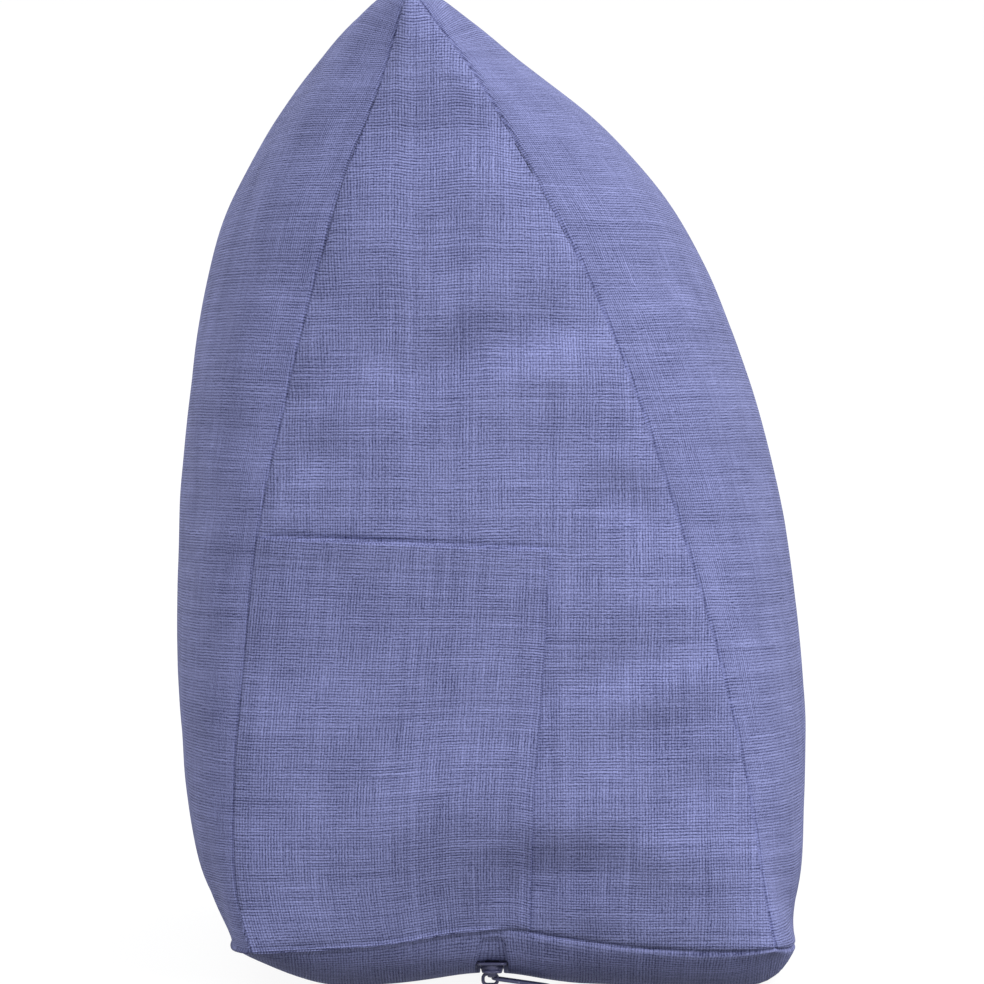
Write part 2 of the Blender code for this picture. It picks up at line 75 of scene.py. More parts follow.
class Graph:
    """A material's node tree, with short ways to add the nodes that the finishes use."""

    def __init__(self, name: str) -> None:
        """Start a material.

        Args:
            name: the material's name.
        """
        self.material = bpy.data.materials.new(name)
        self.material.use_nodes = True
        self.tree = self.material.node_tree
        self.shader = self.tree.nodes["Principled BSDF"]

    def node(self, kind: str, **settings: object) -> bpy.types.Node:
        """Add a node.

        Args:
            kind: the node's type, without its "ShaderNode" prefix.
            settings: properties of the node.

        Returns:
            The new node.
        """
        made = self.tree.nodes.new("ShaderNode" + kind)
        for key, value in settings.items():
            setattr(made, key, value)
        return made

    def feed(self, socket: Socket, value: object) -> None:
        """Link a socket, or set it where the value is a plain number or colour.

        Args:
            socket: an input.
            value: another node's output, a number or a colour.
        """
        if isinstance(value, bpy.types.NodeSocket):
            self.tree.links.new(value, socket)
        else:
            socket.default_value = value

    def math(self, operation: str, *values: object) -> Socket:
        """Add a Math node.

        Args:
            operation: Blender's name for the operation.
            values: its inputs, in order.

        Returns:
            Its result.
        """
        made = self.node("Math", operation=operation)
        for socket, value in zip(made.inputs, values):
            self.feed(socket, value)
        return made.outputs[0]

    def span(self, value: object, low: float, high: float, to_low: float = 0.0,
             to_high: float = 1.0) -> Socket:
        """Map a range of numbers to another, with its ends held.

        Args:
            value: the number.
            low: start of its range.
            high: end of its range.
            to_low: what the start becomes.
            to_high: what the end becomes.

        Returns:
            The mapped number.
        """
        made = self.node("MapRange", clamp=True)
        for socket, number in zip(made.inputs, (value, low, high, to_low, to_high)):
            self.feed(socket, number)
        return made.outputs[0]

    def pair(self, x: object, y: object) -> Socket:
        """Join two numbers as a vector.

        Args:
            x: first number.
            y: second number.

        Returns:
            The vector.
        """
        made = self.node("CombineXYZ")
        self.feed(made.inputs[0], x)
        self.feed(made.inputs[1], y)
        return made.outputs[0]

    def cloud(self, where: Socket, scale: float, detail: float = 2.0, rough: float = 0.5) -> Socket:
        """Add a noise texture.

        Args:
            where: its coordinates.
            scale: its scale.
            detail: its octaves.
            rough: its roughness.

        Returns:
            A number from about 0 to 1.
        """
        made = self.node("TexNoise")
        self.feed(made.inputs["Vector"], where)
        made.inputs["Scale"].default_value = scale
        made.inputs["Detail"].default_value = detail
        made.inputs["Roughness"].default_value = rough
        return made.outputs[0]

    def moved(self, where: Socket, step: Sequence[float]) -> Socket:
        """Move coordinates, so that a second noise differs from the first.

        Args:
            where: coordinates.
            step: how far to move them.

        Returns:
            The moved coordinates.
        """
        made = self.node("VectorMath", operation="ADD")
        self.feed(made.inputs[0], where)
        made.inputs[1].default_value = step
        return made.outputs[0]

    def dice(self, number: Socket, seed: float) -> Socket:
        """Give each whole number a random value of its own.

        Args:
            number: a whole number.
            seed: chooses another set of values.

        Returns:
            A number from 0 to 1.
        """
        made = self.node("TexWhiteNoise", noise_dimensions="2D")
        self.feed(made.inputs["Vector"], self.pair(number, seed))
        return made.outputs["Value"]

    def blend(self, share: object, first: object, second: object) -> Socket:
        """Mix two colours.

        Args:
            share: how much of the second.
            first: a colour.
            second: a colour.

        Returns:
            The mixed colour.
        """
        made = self.node("Mix", data_type="RGBA")
        for index, value in ((0, share), (6, first), (7, second)):
            self.feed(made.inputs[index], value)
        return made.outputs[2]

    def raise_surface(self, height: Socket, distance: float, strength: float = 1.0) -> None:
        """Give the shader a bump.

        Args:
            height: the relief, from 0 to 1.
            distance: the relief's depth in metres.
            strength: the bump's strength.
        """
        made = self.node("Bump")
        made.inputs["Strength"].default_value = strength
        made.inputs["Distance"].default_value = distance
        self.feed(made.inputs["Height"], height)
        self.feed(self.shader.inputs["Normal"], made.outputs[0])

    def set(self, **values: object) -> None:
        """Set inputs of the shader, with _ for a space in their names.

        Args:
            values: a number, a colour or another node's output for each.
        """
        for key, value in values.items():
            self.feed(self.shader.inputs[key.replace("_", " ")], value)


def linear(red: float, green: float, blue: float) -> tuple[float, float, float, float]:
    """Turn display values from 0 to 255 into a shader colour.

    Args:
        red: red, 0 to 255.
        green: green, 0 to 255.
        blue: blue, 0 to 255.

    Returns:
        The colour with full alpha.
    """
    def one(value: float) -> float:
        """Return one channel."""
        share = value / 255
        return share / 12.92 if share <= 0.04045 else ((share + 0.055) / 1.055) ** 2.4

    return one(red), one(green), one(blue), 1.0


@dataclass(frozen=True)
class LinenWeave:
    """A balanced plain weave of uneven heather yarn, drawn on UVs in metres, with painted shade in the gaps
    between its threads.
    """

    name: str
    pitch: float = 0.00129
    bright: tuple[float, float, float, float] = linear(160, 166, 222)
    # The dark end gives the darker yarn tones and also the painted shade in the gaps between threads.
    dark: tuple[float, float, float, float] = linear(48, 52, 92)
    relief: float = 0.00020
    shift: tuple[float, float, float] = (0.0, 0.0, 0.0)
    wobble: float = 0.11
    wander: float = 0.6
    patch: Pair = (0.08, 0.74)
    yarn_light: Pair = (0.5, 1.15)
    speck: Pair = (-0.30, 0.36)
    mottle: Pair = (-0.1, 0.06)

    def yarn(self, graph: Graph, across: Socket, along: Socket, seed: float) -> tuple[Socket, Socket]:
        """Draw one set of parallel threads.

        Args:
            graph: the material's node tree.
            across: place across the threads, in threads.
            along: place along them, in threads.
            seed: chooses the shades.

        Returns:
            The threads' rounded profile, and their shade, both from 0 to 1.
        """
        thread = graph.math("FLOOR", across)
        wobble = graph.cloud(graph.pair(graph.math("MULTIPLY", along, 0.42),
                                        graph.math("MULTIPLY_ADD", thread, 0.87, seed)), 1.0, 2.0)
        middle = graph.math("ADD", graph.math("SUBTRACT", graph.math("FRACT", across), 0.5),
                            graph.span(wobble, 0.3, 0.7, -self.wobble, self.wobble))
        thick = graph.math("MULTIPLY_ADD", graph.dice(thread, seed + 11.0), 1.1, 0.45)
        swell = graph.math("MAXIMUM", graph.math("COSINE", graph.math("MULTIPLY", middle, math.pi)), 0.0)
        arch = graph.math("POWER", swell, thick)
        run = graph.pair(graph.math("MULTIPLY", along, 0.04), graph.math("MULTIPLY", thread, 0.731))
        drift = graph.cloud(run, 1.0, 3.0, 0.7)
        slub = graph.span(graph.cloud(graph.moved(run, (seed, 5.3, 0.0)), 0.8, 1.0), 0.60, 0.72)
        own = graph.math("MULTIPLY_ADD", graph.dice(thread, seed), 0.24,
                         graph.span(drift, 0.25, 0.75, 0.0, 0.7))
        return arch, graph.math("MULTIPLY_ADD", slub, 0.3, own)

    def threads(self, graph: Graph, place: Socket) -> tuple[Socket, Socket]:
        """Draw the weave.

        Args:
            graph: the material's node tree.
            place: the cloth's UV.

        Returns:
            The relief, and the lightness of the cloth, both about 0 to 1.
        """
        parts = graph.node("SeparateXYZ")
        graph.feed(parts.inputs[0], place)
        wander = [graph.math("SUBTRACT", graph.cloud(graph.moved(place, (step, step, 0.0)), 55.0, 3.0), 0.5)
                  for step in (0.0, 3.7)]
        across, along = (
            graph.math("MULTIPLY_ADD", drift, self.wander, graph.math("MULTIPLY", part, 1 / self.pitch))
            for part, drift in zip(parts.outputs[:2], wander)
        )
        warp, warp_shade = self.yarn(graph, across, along, 3.0)
        weft, weft_shade = self.yarn(graph, along, across, 7.0)
        over = graph.math("PINGPONG", graph.math("ADD", graph.math("FLOOR", across),
                                                 graph.math("FLOOR", along)), 1.0)
        patch = graph.span(graph.cloud(graph.moved(place, (8.1, 2.2, 0.0)), 75.0, 4.0, 0.6), 0.3, 0.7)
        weft_share = graph.math("MULTIPLY_ADD", over, 0.3, graph.span(patch, 0.0, 1.0, *self.patch))
        # Each thread's rounded profile darkens its colour towards its edges: painted shade in the gaps
        # between threads, on top of the bump.
        weft_light = graph.math("MULTIPLY", weft, graph.span(weft_shade, 0.0, 1.0, *self.yarn_light))
        warp_light = graph.math("MULTIPLY", warp, graph.span(warp_shade, 0.0, 1.0, *self.yarn_light))
        light = self.choose(graph, weft_share, warp_light, weft_light)
        speck = graph.cloud(place, 1500.0, 2.0, 0.9)
        light = graph.math("ADD", light, graph.span(speck, 0.3, 0.7, *self.speck))
        height = self.choose(graph, weft_share, warp, weft)
        return height, light

    @staticmethod
    def choose(graph: Graph, share: Socket, first: Socket, second: Socket) -> Socket:
        """Blend two numbers.

        Args:
            graph: the material's node tree.
            share: 0 for the first, 1 for the second.
            first: a number.
            second: a number.

        Returns:
            The blended number.
        """
        made = graph.node("Mix", data_type="FLOAT")
        for index, value in ((0, share), (2, first), (3, second)):
            graph.feed(made.inputs[index], value)
        return made.outputs[0]

    def material(self) -> bpy.types.Material:
        """Build the cloth.

        Returns:
            The finished material.
        """
        graph = Graph(self.name)
        place = graph.moved(graph.node("UVMap", uv_map=UV_NAME).outputs[0], self.shift)
        height, light = self.threads(graph, place)
        mottle = graph.span(graph.cloud(place, 30.0, 4.0, 0.6), 0.3, 0.7, *self.mottle)
        light = graph.math("ADD", light, mottle)
        # The lightness carries the painted shade in the gaps between threads.
        graph.set(Base_Color=graph.blend(light, self.dark, self.bright))
        graph.set(Roughness=0.92, Specular_IOR_Level=0.15)
        graph.raise_surface(height, self.relief)
        return graph.material


@dataclass(frozen=True)
class TapeTwill:
    """Fine woven zip tape, with painted shade in the grooves between its ribs."""

    name: str = "zip_tape_weave"
    rib: float = 0.0006

    def material(self) -> bpy.types.Material:
        """Build the tape's weave.

        Returns:
            The finished material.
        """
        graph = Graph(self.name)
        parts = graph.node("SeparateXYZ")
        graph.feed(parts.inputs[0], graph.node("TexCoord").outputs["Object"])
        along = graph.math("MULTIPLY", parts.outputs[1], 2 * math.pi / self.rib)
        ribs = graph.math("MULTIPLY_ADD", graph.math("SINE", along), 0.5, 0.5)
        # The colour darkens in the grooves between ribs, the same ribs as the bump: painted shade.
        graph.set(Base_Color=graph.blend(ribs, linear(48, 50, 78), linear(84, 88, 124)))
        graph.set(Roughness=0.85, Specular_IOR_Level=0.2)
        graph.raise_surface(ribs, 0.0001)
        return graph.material


@dataclass(frozen=True)
class Enamel:
    """Dark enamel on die-cast metal, rubbed at random, or the satin plastic of the coil."""

    name: str
    colour: tuple[float, float, float, float]
    worn: tuple[float, float, float, float]
    metallic: float = 0.35
    roughness: float = 0.38

    def material(self) -> bpy.types.Material:
        """Build the enamel.

        Returns:
            The finished material.
        """
        graph = Graph(self.name)
        place = graph.node("TexCoord").outputs["Object"]
        wear = graph.span(graph.cloud(place, 420.0, 4.0, 0.7), 0.58, 0.72)
        graph.set(Base_Color=graph.blend(wear, self.colour, self.worn))
        graph.set(Roughness=graph.span(wear, 0.0, 1.0, self.roughness, self.roughness + 0.2))
        graph.set(Metallic=self.metallic)
        graph.raise_surface(graph.cloud(place, 900.0, 2.0), 0.00003)
        return graph.material


def finish_piece(name: str, mesh_data: bmesh.types.BMesh, material: bpy.types.Material,
                 replaced: Iterable[str] = ()) -> bpy.types.Object:
    """Turn a bmesh into a dressed piece that rides on the cushion.

    Args:
        name: the piece's name.
        mesh_data: its shape, in place.
        material: its finish.
        replaced: nodes that it stands for.

    Returns:
        The piece.
    """
    mesh = bpy.data.meshes.new(name)
    mesh_data.to_mesh(mesh)
    mesh_data.free()
    mesh.shade_smooth()
    mesh.materials.append(material)
    piece = bpy.data.objects.new(name, mesh)
    bpy.context.collection.objects.link(piece)
    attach(piece, ROOT)
    for node in replaced:
        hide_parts(node)
    return piece


def read_points(mesh: bpy.types.Mesh) -> np.ndarray:
    """Return a mesh's points as rows.

    Args:
        mesh: the mesh.

    Returns:
        One row of x, y, z for each point.
    """
    flat = np.empty(len(mesh.vertices) * 3)
    mesh.vertices.foreach_get("co", flat)
    return flat.reshape(-1, 3)


def catmull(points: np.ndarray, position: float, closed: bool = False) -> np.ndarray:
    """Read a Catmull-Rom curve.

    Args:
        points: its rows.
        position: a row position.
        closed: whether the curve returns to its first row.

    Returns:
        The point there.
    """
    count = len(points)
    row = min(int(position), count - 1 if closed else count - 2)
    part = position - row
    picks = [row + step for step in (-1, 0, 1, 2)]
    picks = [pick % count if closed else min(max(pick, 0), count - 1) for pick in picks]
    before, start, end, after = (points[pick] for pick in picks)
    return 0.5 * (2 * start + (end - before) * part
                  + (2 * before - 5 * start + 4 * end - after) * part ** 2
                  + (3 * start - before - 3 * end + after) * part ** 3)


@dataclass(frozen=True)
class SideRow:
    """One height on the wrap: x on the end seam, and x half way along where it is fullest."""

    seam_z: float
    back_seam: float
    front_seam: float
    crown_z: float
    back_crown: float
    front_crown: float


@dataclass(frozen=True)
class BaseRow:
    """One place across the base: on the end seam, and half way along."""

    seam_x: float
    seam_z: float
    crown_x: float
    crown_z: float


@dataclass
class WedgeForm:
    """The cushion's shape: a loop round its girth that swells from the end seams to the middle."""

    length: float = 0.450
    ridge_seam: Pair = (-0.0365, 0.4425)
    ridge_crown: Pair = (-0.0420, 0.4615)
    end_dome: float = 0.022
    dome_sink: float = 0.15
    seam_pull: float = 0.009
    foot_z: float = 0.015
    base_power: float = 13.0
    slider_power: float = 8.0
    slider_reach: float = 0.03
    shoulder: int = 7
    side_rows: tuple[SideRow, ...] = (
        SideRow(0.0190, -0.1055, 0.1265, 0.0180, -0.1180, 0.1385),
        SideRow(0.0485, -0.1130, 0.1210, 0.0460, -0.1390, 0.1458),
        SideRow(0.0955, -0.1135, 0.1135, 0.0965, -0.1480, 0.1505),
        SideRow(0.1535, -0.1090, 0.0995, 0.1535, -0.1515, 0.1480),
        SideRow(0.2085, -0.1030, 0.0830, 0.2095, -0.1505, 0.1410),
        SideRow(0.2605, -0.0920, 0.0655, 0.2645, -0.1465, 0.1285),
        SideRow(0.3125, -0.0790, 0.0445, 0.3165, -0.1390, 0.1100),
        SideRow(0.3585, -0.0655, 0.0210, 0.3605, -0.1265, 0.0870),
        SideRow(0.3945, -0.0520, 0.0000, 0.3995, -0.1040, 0.0495),
        SideRow(0.4235, -0.0430, -0.0200, 0.4345, -0.0735, -0.0040),
    )
    base_rows: tuple[BaseRow, ...] = (
        BaseRow(-0.086, 0.0200, -0.078, -0.0022),
        BaseRow(-0.048, 0.0220, -0.055, -0.003),
        BaseRow(-0.022, 0.0265, -0.026, 0.0010),
        BaseRow(-0.009, 0.0280, -0.011, 0.0047),
        BaseRow(0.009, 0.0280, 0.011, 0.0047),
        BaseRow(0.022, 0.0255, 0.025, 0.0006),
        BaseRow(0.058, 0.0205, 0.058, -0.003),
        BaseRow(0.100, 0.0180, 0.126, -0.003),
    )

    def __post_init__(self) -> None:
        """Lay the rows out as loops and measure the fullest one."""
        rows = self.side_rows
        up_seam = [(row.back_seam, row.seam_z) for row in rows]
        down_seam = [(row.front_seam, row.seam_z) for row in reversed(rows)]
        up_crown = [(row.back_crown, row.crown_z) for row in rows]
        down_crown = [(row.front_crown, row.crown_z) for row in reversed(rows)]
        under = list(reversed(self.base_rows))
        self.wrap = np.array(up_seam + [self.ridge_seam] + down_seam)
        self.under = np.array([self.wrap[-1]] + [(row.seam_x, row.seam_z) for row in under]
                              + [self.wrap[0]])
        self.crown = np.array(up_crown + [self.ridge_crown] + down_crown
                              + [(row.crown_x, row.crown_z) for row in under])
        self.last = len(self.wrap) - 1
        self.corners = {
            "back": (0, self.shoulder),
            "crest": (self.shoulder, self.last - self.shoulder),
            "front": (self.last, self.last - self.shoulder),
            "base": (len(self.crown), self.last),
        }
        steps = np.hypot(*np.diff(np.vstack([self.crown, self.crown[:1]]), axis=0).T)
        self.girth = np.concatenate([[0.0], np.cumsum(steps)])
        up = np.array([catmull(self.wrap, row) for row in np.linspace(0, len(self.side_rows), 200)])
        across = np.array([catmull(self.under, row) for row in np.linspace(0, len(self.under) - 1, 200)])
        self.lengths: dict[float, tuple[np.ndarray, np.ndarray]] = {}
        self.back_line = up[:, ::-1].copy()
        self.base_line = across[::-1].copy()

    def run(self, side: str, fraction: float) -> float:
        """Return the length round the girth at a fraction of a side.

        Args:
            side: back, crest, front or base.
            fraction: from 0 to 1.

        Returns:
            Metres from the back corner of the base.
        """
        start, end = self.corners[side]
        return (1 - fraction) * self.girth[start] + fraction * self.girth[end]

    def row_at(self, side: str, fraction: float) -> float:
        """Return the row position at a fraction of a side.

        Args:
            side: back, crest, front or base.
            fraction: from 0 to 1.

        Returns:
            The row position.
        """
        return float(np.interp(self.run(side, fraction), self.girth, np.arange(len(self.girth))))

    def seam(self, row: float) -> np.ndarray:
        """Return x, z on the end seam at a row position.

        Args:
            row: the row position.

        Returns:
            x and z.
        """
        if row <= self.last:
            return catmull(self.wrap, row)
        return catmull(self.under, row - self.last)

    def fullness(self, t: float, power: float) -> float:
        """Return how far the cover has swelled from its seam.

        Args:
            t: place along the length, from -1 to 1.
            power: how soon the base is at its full depth, or 0 for the wrap.

        Returns:
            0 at the seam to 1 at the fullest.
        """
        if power:
            return 1 - abs(t) ** power
        return max(0.0, 1 - abs(t) ** 2.6) ** 0.6

    def seam_depth(self, z: float) -> float:
        """Return how far from the middle the end seam lies at a height.

        Args:
            z: the height.

        Returns:
            Metres along Y.
        """
        rise = min(max((z - self.foot_z) / (self.ridge_seam[1] - self.foot_z), 0.0), 1.0)
        return self.length / 2 - self.seam_pull * math.sin(math.pi * rise ** 0.8)

    def along(self, row: float, t: float) -> float:
        """Return the length of cloth from the cushion's middle to a place along the wrap.

        Args:
            row: the row position.
            t: place along the length, from -1 to 1.

        Returns:
            Metres, negative towards the pocket end.
        """
        if row not in self.lengths:
            seam = self.seam(row)
            swell = float(np.linalg.norm(catmull(self.crown, row, closed=True) - seam))
            stops = np.sin(np.linspace(0.0, math.pi / 2, 60))
            full = np.array([self.fullness(stop, 0.0) for stop in stops])
            steps = np.hypot(np.diff(stops) * self.seam_depth(seam[1]), np.diff(full) * swell)
            self.lengths[row] = (stops, np.concatenate([[0.0], np.cumsum(steps)]))
        stops, run = self.lengths[row]
        return math.copysign(float(np.interp(abs(t), stops, run)), t)

    def on_wrap(self, row: float, t: float, flat: bool) -> Vector:
        """Return a point on the wrap or the base.

        Args:
            row: the row position.
            t: place along the length, from -1 to 1.
            flat: whether this is the base.

        Returns:
            The point.
        """
        seam = self.seam(row)
        section = catmull(self.crown, row, closed=True)
        power = 0.0
        if flat:
            power = self.base_power + self.slider_power * math.exp(-(seam[0] / self.slider_reach) ** 2)
        x, z = seam + (section - seam) * self.fullness(t, power)
        return Vector((x, t * self.seam_depth(seam[1]), max(z, 0.0)))

    def on_end(self, u: float, w: float, side: float) -> Vector:
        """Return a point on an end panel, blended from its four seams and domed.

        Args:
            u: place across, from -1 to 1.
            w: place upwards, from -1 to 1.
            side: -1 for the pocket end, 1 for the far one.

        Returns:
            The point.
        """
        across, upward = (u + 1) / 2, (w + 1) / 2
        left, right = (self.seam(self.row_at(name, upward)) for name in ("back", "front"))
        low, high = (self.seam(self.row_at(name, across)) for name in ("base", "crest"))
        low_left, high_left = (self.seam(self.row_at("back", end)) for end in (0, 1))
        low_right, high_right = (self.seam(self.row_at("front", end)) for end in (0, 1))
        corners = ((1 - across) * ((1 - upward) * low_left + upward * high_left)
                   + across * ((1 - upward) * low_right + upward * high_right))
        x, z = ((1 - across) * left + across * right + (1 - upward) * low + upward * high - corners)
        low_heavy = w + self.dome_sink * (1 - w * w)
        dome = self.end_dome * ((1 - abs(u) ** 2.2) * (1 - abs(low_heavy) ** 2.4)) ** 0.7
        return Vector((x, side * (self.seam_depth(z) + dome), z))

    def seam_x(self, z: float) -> float:
        """Return x of the back end seam at a height.

        Args:
            z: the height.

        Returns:
            x.
        """
        return float(np.interp(z, self.back_line[:, 0], self.back_line[:, 1]))

    def seam_z(self, x: float) -> float:
        """Return the height of the base's end seam.

        Args:
            x: place across.

        Returns:
            The height.
        """
        return float(np.interp(x, self.base_line[:, 0], self.base_line[:, 1]))


@dataclass(frozen=True)
class Fold:
    """A soft trough, or a ridge where its depth is negative, on the pocket end."""

    x0: float
    z0: float
    x1: float
    z1: float
    half_width: float
    depth: float

    def press(self, x: float, z: float) -> float:
        """Return how deep this fold presses in at a place.

        Args:
            x: place across.
            z: height.

        Returns:
            Metres inwards.
        """
        run_x, run_z = self.x1 - self.x0, self.z1 - self.z0
        along = ((x - self.x0) * run_x + (z - self.z0) * run_z) / (run_x ** 2 + run_z ** 2)
        inside = min(max(along, 0.0), 1.0)
        gap = math.hypot(x - self.x0 - inside * run_x, z - self.z0 - inside * run_z)
        reach = gap / self.half_width
        if reach > 3:
            return 0.0
        return self.depth * math.exp(-reach ** 2) * (0.55 + 0.45 * math.sin(math.pi * inside))


@dataclass
class Cover:
    """The stuffed cover: one closed crowned form with drawn-in seams, soft folds and the zip's slit.

    A pair is a width and a depth in seam_steps, a noise scale and a height in uneven, x and z in mouth,
    the middle and half width of the crease in mouth_line, its depth and what the gape adds to it in
    mouth_depths, and the gape's place and reach in mouth_gape.
    """

    form: WedgeForm
    divisions: tuple[int, int, int] = (28, 46, 44)
    crowding: float = 0.45
    sharpness: float = 0.75
    seam_steps: tuple[Pair, ...] = ((0.0017, 0.0006), (0.0006, 0.0011))
    seam_smoothing: float = 0.3
    base_seam_top: float = 0.035
    ridge_end: float = -0.006
    ridge_run: float = 0.024
    ridge_turn: float = 2.3
    swell_frames: int = 20
    held_below: float = 0.014
    crease_cap: float = 0.0032
    crease_spread: int = 14
    fold_run: float = 0.075
    uneven: tuple[Pair, Pair] = ((13.0, 0.0014), (34.0, 0.00045))
    free_above: float = 0.03
    mouth: tuple[Pair, Pair] = ((-0.1015, 0.2013), (0.0250, 0.1962))
    mouth_cuts: tuple[float, ...] = (0.0002, 0.0012, 0.0022, 0.0036)
    mouth_line: Pair = (0.0011, 0.0010)
    mouth_depths: Pair = (0.0010, 0.0009)
    mouth_gape: Pair = (-0.054, 0.024)
    mouth_fade: float = 0.006
    mouth_past: float = 0.004
    mouth_band: Pair = (-0.001, 0.0034)
    near_side: float = -0.2
    slit: float = 0.0043
    slit_slack: float = 0.0002
    slit_lip: float = 0.001
    slit_roof: float = 0.0132
    slit_lift: float = 0.0016
    slit_end: float = 0.2165
    slit_fade: float = 0.002
    slider_y: float = -0.2000
    slider_half: float = 0.012
    slider_cuts: tuple[float, ...] = (-0.004, 0.004, 0.012, 0.018)
    opening: float = 0.0023
    opening_reach: float = 0.022
    folds: tuple[Fold, ...] = (
        Fold(-0.036, 0.2735, 0.044, 0.2975, 0.013, 0.00544),
        Fold(0.000, 0.2715, 0.046, 0.2805, 0.011, -0.00272),
        Fold(0.050, 0.2180, 0.072, 0.2125, 0.011, 0.00544),
        Fold(0.046, 0.2370, 0.070, 0.2330, 0.010, -0.00306),
        Fold(0.030, 0.1335, 0.088, 0.1525, 0.012, 0.00442),
        Fold(0.044, 0.1275, 0.090, 0.1365, 0.010, -0.00272),
        Fold(0.056, 0.1095, 0.094, 0.1245, 0.012, 0.00374),
        Fold(0.080, 0.0835, 0.104, 0.0970, 0.012, 0.00340),
        Fold(0.008, 0.0700, 0.050, 0.0790, 0.011, -0.00187),
        Fold(0.012, 0.0490, 0.050, 0.0590, 0.012, 0.00510),
        Fold(0.060, 0.0620, 0.108, 0.0600, 0.016, -0.00408),
        Fold(-0.040, 0.0860, 0.012, 0.0860, 0.022, -0.00357),
        Fold(-0.089, 0.2340, -0.067, 0.2380, 0.008, 0.00204),
        Fold(-0.054, 0.3700, 0.004, 0.3810, 0.010, 0.00204),
        Fold(-0.046, 0.0240, 0.066, 0.0240, 0.030, 0.00510),
    )
    tree: BVHTree | None = None

    def crowded(self, position: float) -> float:
        """Return a grid line's place, closer to its neighbours near the seams.

        Args:
            position: from -1 to 1.

        Returns:
            The new place, from -1 to 1.
        """
        return (1 - self.crowding) * position + self.crowding * math.sin(math.pi / 2 * position)

    def grid(self) -> bmesh.types.BMesh:
        """Lay a cube's grid on the wedge, with each face marked by its panel and given UVs.

        Returns:
            The cover's rough shape.
        """
        mesh = bmesh.new()
        bmesh.ops.create_cube(mesh, size=2.0)
        for axis, count in enumerate(self.divisions):
            running = [edge for edge in mesh.edges
                       if abs((edge.verts[0].co - edge.verts[1].co)[axis]) > 1e-6]
            bmesh.ops.subdivide_edges(mesh, edges=running, cuts=count - 1, use_grid_fill=True)
        uv = mesh.loops.layers.uv.new(UV_NAME)
        places = {vert: vert.co.copy() for vert in mesh.verts}
        for vert, place in places.items():
            vert.co = self.laid(place)
        for face in mesh.faces:
            middle = sum((places[vert] for vert in face.verts), Vector()) / len(face.verts)
            panel = self.panel_at(middle)
            face.material_index = panel.value
            for loop in face.loops:
                loop[uv].uv = self.cut_place(panel, middle, places[loop.vert], loop.vert.co)
        bmesh.ops.recalc_face_normals(mesh, faces=mesh.faces)
        crease = mesh.edges.layers.float.new("crease_edge")
        for edge in self.seams(mesh):
            edge[crease] = self.sharpness
        return mesh

    @staticmethod
    def seams(mesh: bmesh.types.BMesh) -> list[bmesh.types.BMEdge]:
        """Return the edges where two panels meet.

        Args:
            mesh: the cover, with each face marked by its panel.

        Returns:
            The edges.
        """
        return [edge for edge in mesh.edges
                if len({face.material_index for face in edge.link_faces}) > 1]

    def laid(self, place: Vector) -> Vector:
        """Return where a point of the cube's grid lies on the wedge.

        Args:
            place: the point on the cube.

        Returns:
            The point on the wedge.
        """
        u, v, w = place
        on_wrap = max(abs(u), abs(w)) > EDGE
        if abs(v) > EDGE and not on_wrap:
            return self.form.on_end(u, w, math.copysign(1, v))
        side, fraction = self.side_of(place)
        return self.form.on_wrap(self.form.row_at(side, fraction), self.crowded(v), w < -EDGE)

    @staticmethod
    def side_of(place: Vector) -> tuple[str, float]:
        """Return the side of the girth and the fraction along it for a point of the cube.

        Args:
            place: the point on the cube.

        Returns:
            back, crest, front or base, and the fraction.
        """
        if abs(place.x) > EDGE:
            return ("back" if place.x < 0 else "front"), (place.z + 1) / 2
        return ("crest" if place.z > 0 else "base"), (place.x + 1) / 2

    @staticmethod
    def panel_at(middle: Vector) -> Panel:
        """Return the panel of a face of the cube.

        Args:
            middle: the face's middle on the cube.

        Returns:
            The panel.
        """
        if abs(middle.y) > EDGE:
            return Panel.NEAR_END if middle.y < 0 else Panel.FAR_END
        return Panel.BASE if middle.z < -EDGE else Panel.WRAP

    def cut_place(self, panel: Panel, middle: Vector, place: Vector, point: Vector) -> Pair:
        """Return where a corner of a face lies on the flat cloth that it was cut from.

        Args:
            panel: the face's panel.
            middle: the face's middle on the cube.
            place: the corner on the cube.
            point: the corner on the wedge.

        Returns:
            Metres across and along the cloth.
        """
        if panel in (Panel.NEAR_END, Panel.FAR_END):
            return point.x, point.z
        if panel is Panel.BASE:
            return point.x, point.y
        side = "crest" if middle.z > EDGE else ("back" if middle.x < 0 else "front")
        fraction = (place.x + 1) / 2 if side == "crest" else (place.z + 1) / 2
        row = self.form.row_at(side, fraction)
        return self.form.along(row, self.crowded(place.y)), self.form.run(side, fraction)

    def swell(self, piece: bpy.types.Object) -> None:
        """Blow the cover up as cloth with its seams held, and keep the creases that this makes.

        Args:
            piece: the cover, at its full shape.
        """
        mesh = piece.data
        start = read_points(mesh)
        held = self.held_points(mesh, start)
        group = piece.vertex_groups.new(name="held")
        group.add([int(index) for index in held], 1.0, "REPLACE")
        cloth = piece.modifiers.new("swell", "CLOTH")
        cloth.settings.quality = 6
        cloth.settings.mass = 0.25
        cloth.settings.tension_stiffness = 18
        cloth.settings.compression_stiffness = 14
        cloth.settings.shear_stiffness = 4
        cloth.settings.bending_stiffness = 0.35
        cloth.settings.use_pressure = True
        cloth.settings.uniform_pressure_force = 4
        cloth.settings.shrink_min = -0.022
        cloth.settings.vertex_group_mass = "held"
        cloth.settings.effector_weights.gravity = 0
        cloth.collision_settings.use_collision = False
        scene = bpy.context.scene
        for frame in range(1, self.swell_frames + 1):
            scene.frame_set(frame)
        shown = piece.evaluated_get(bpy.context.evaluated_depsgraph_get())
        swelled = read_points(shown.data)
        piece.modifiers.remove(cloth)
        piece.vertex_groups.remove(group)
        scene.frame_set(1)
        kept = self.creases(mesh, start, swelled, held)
        mesh.vertices.foreach_set("co", kept.ravel())
        mesh.update()

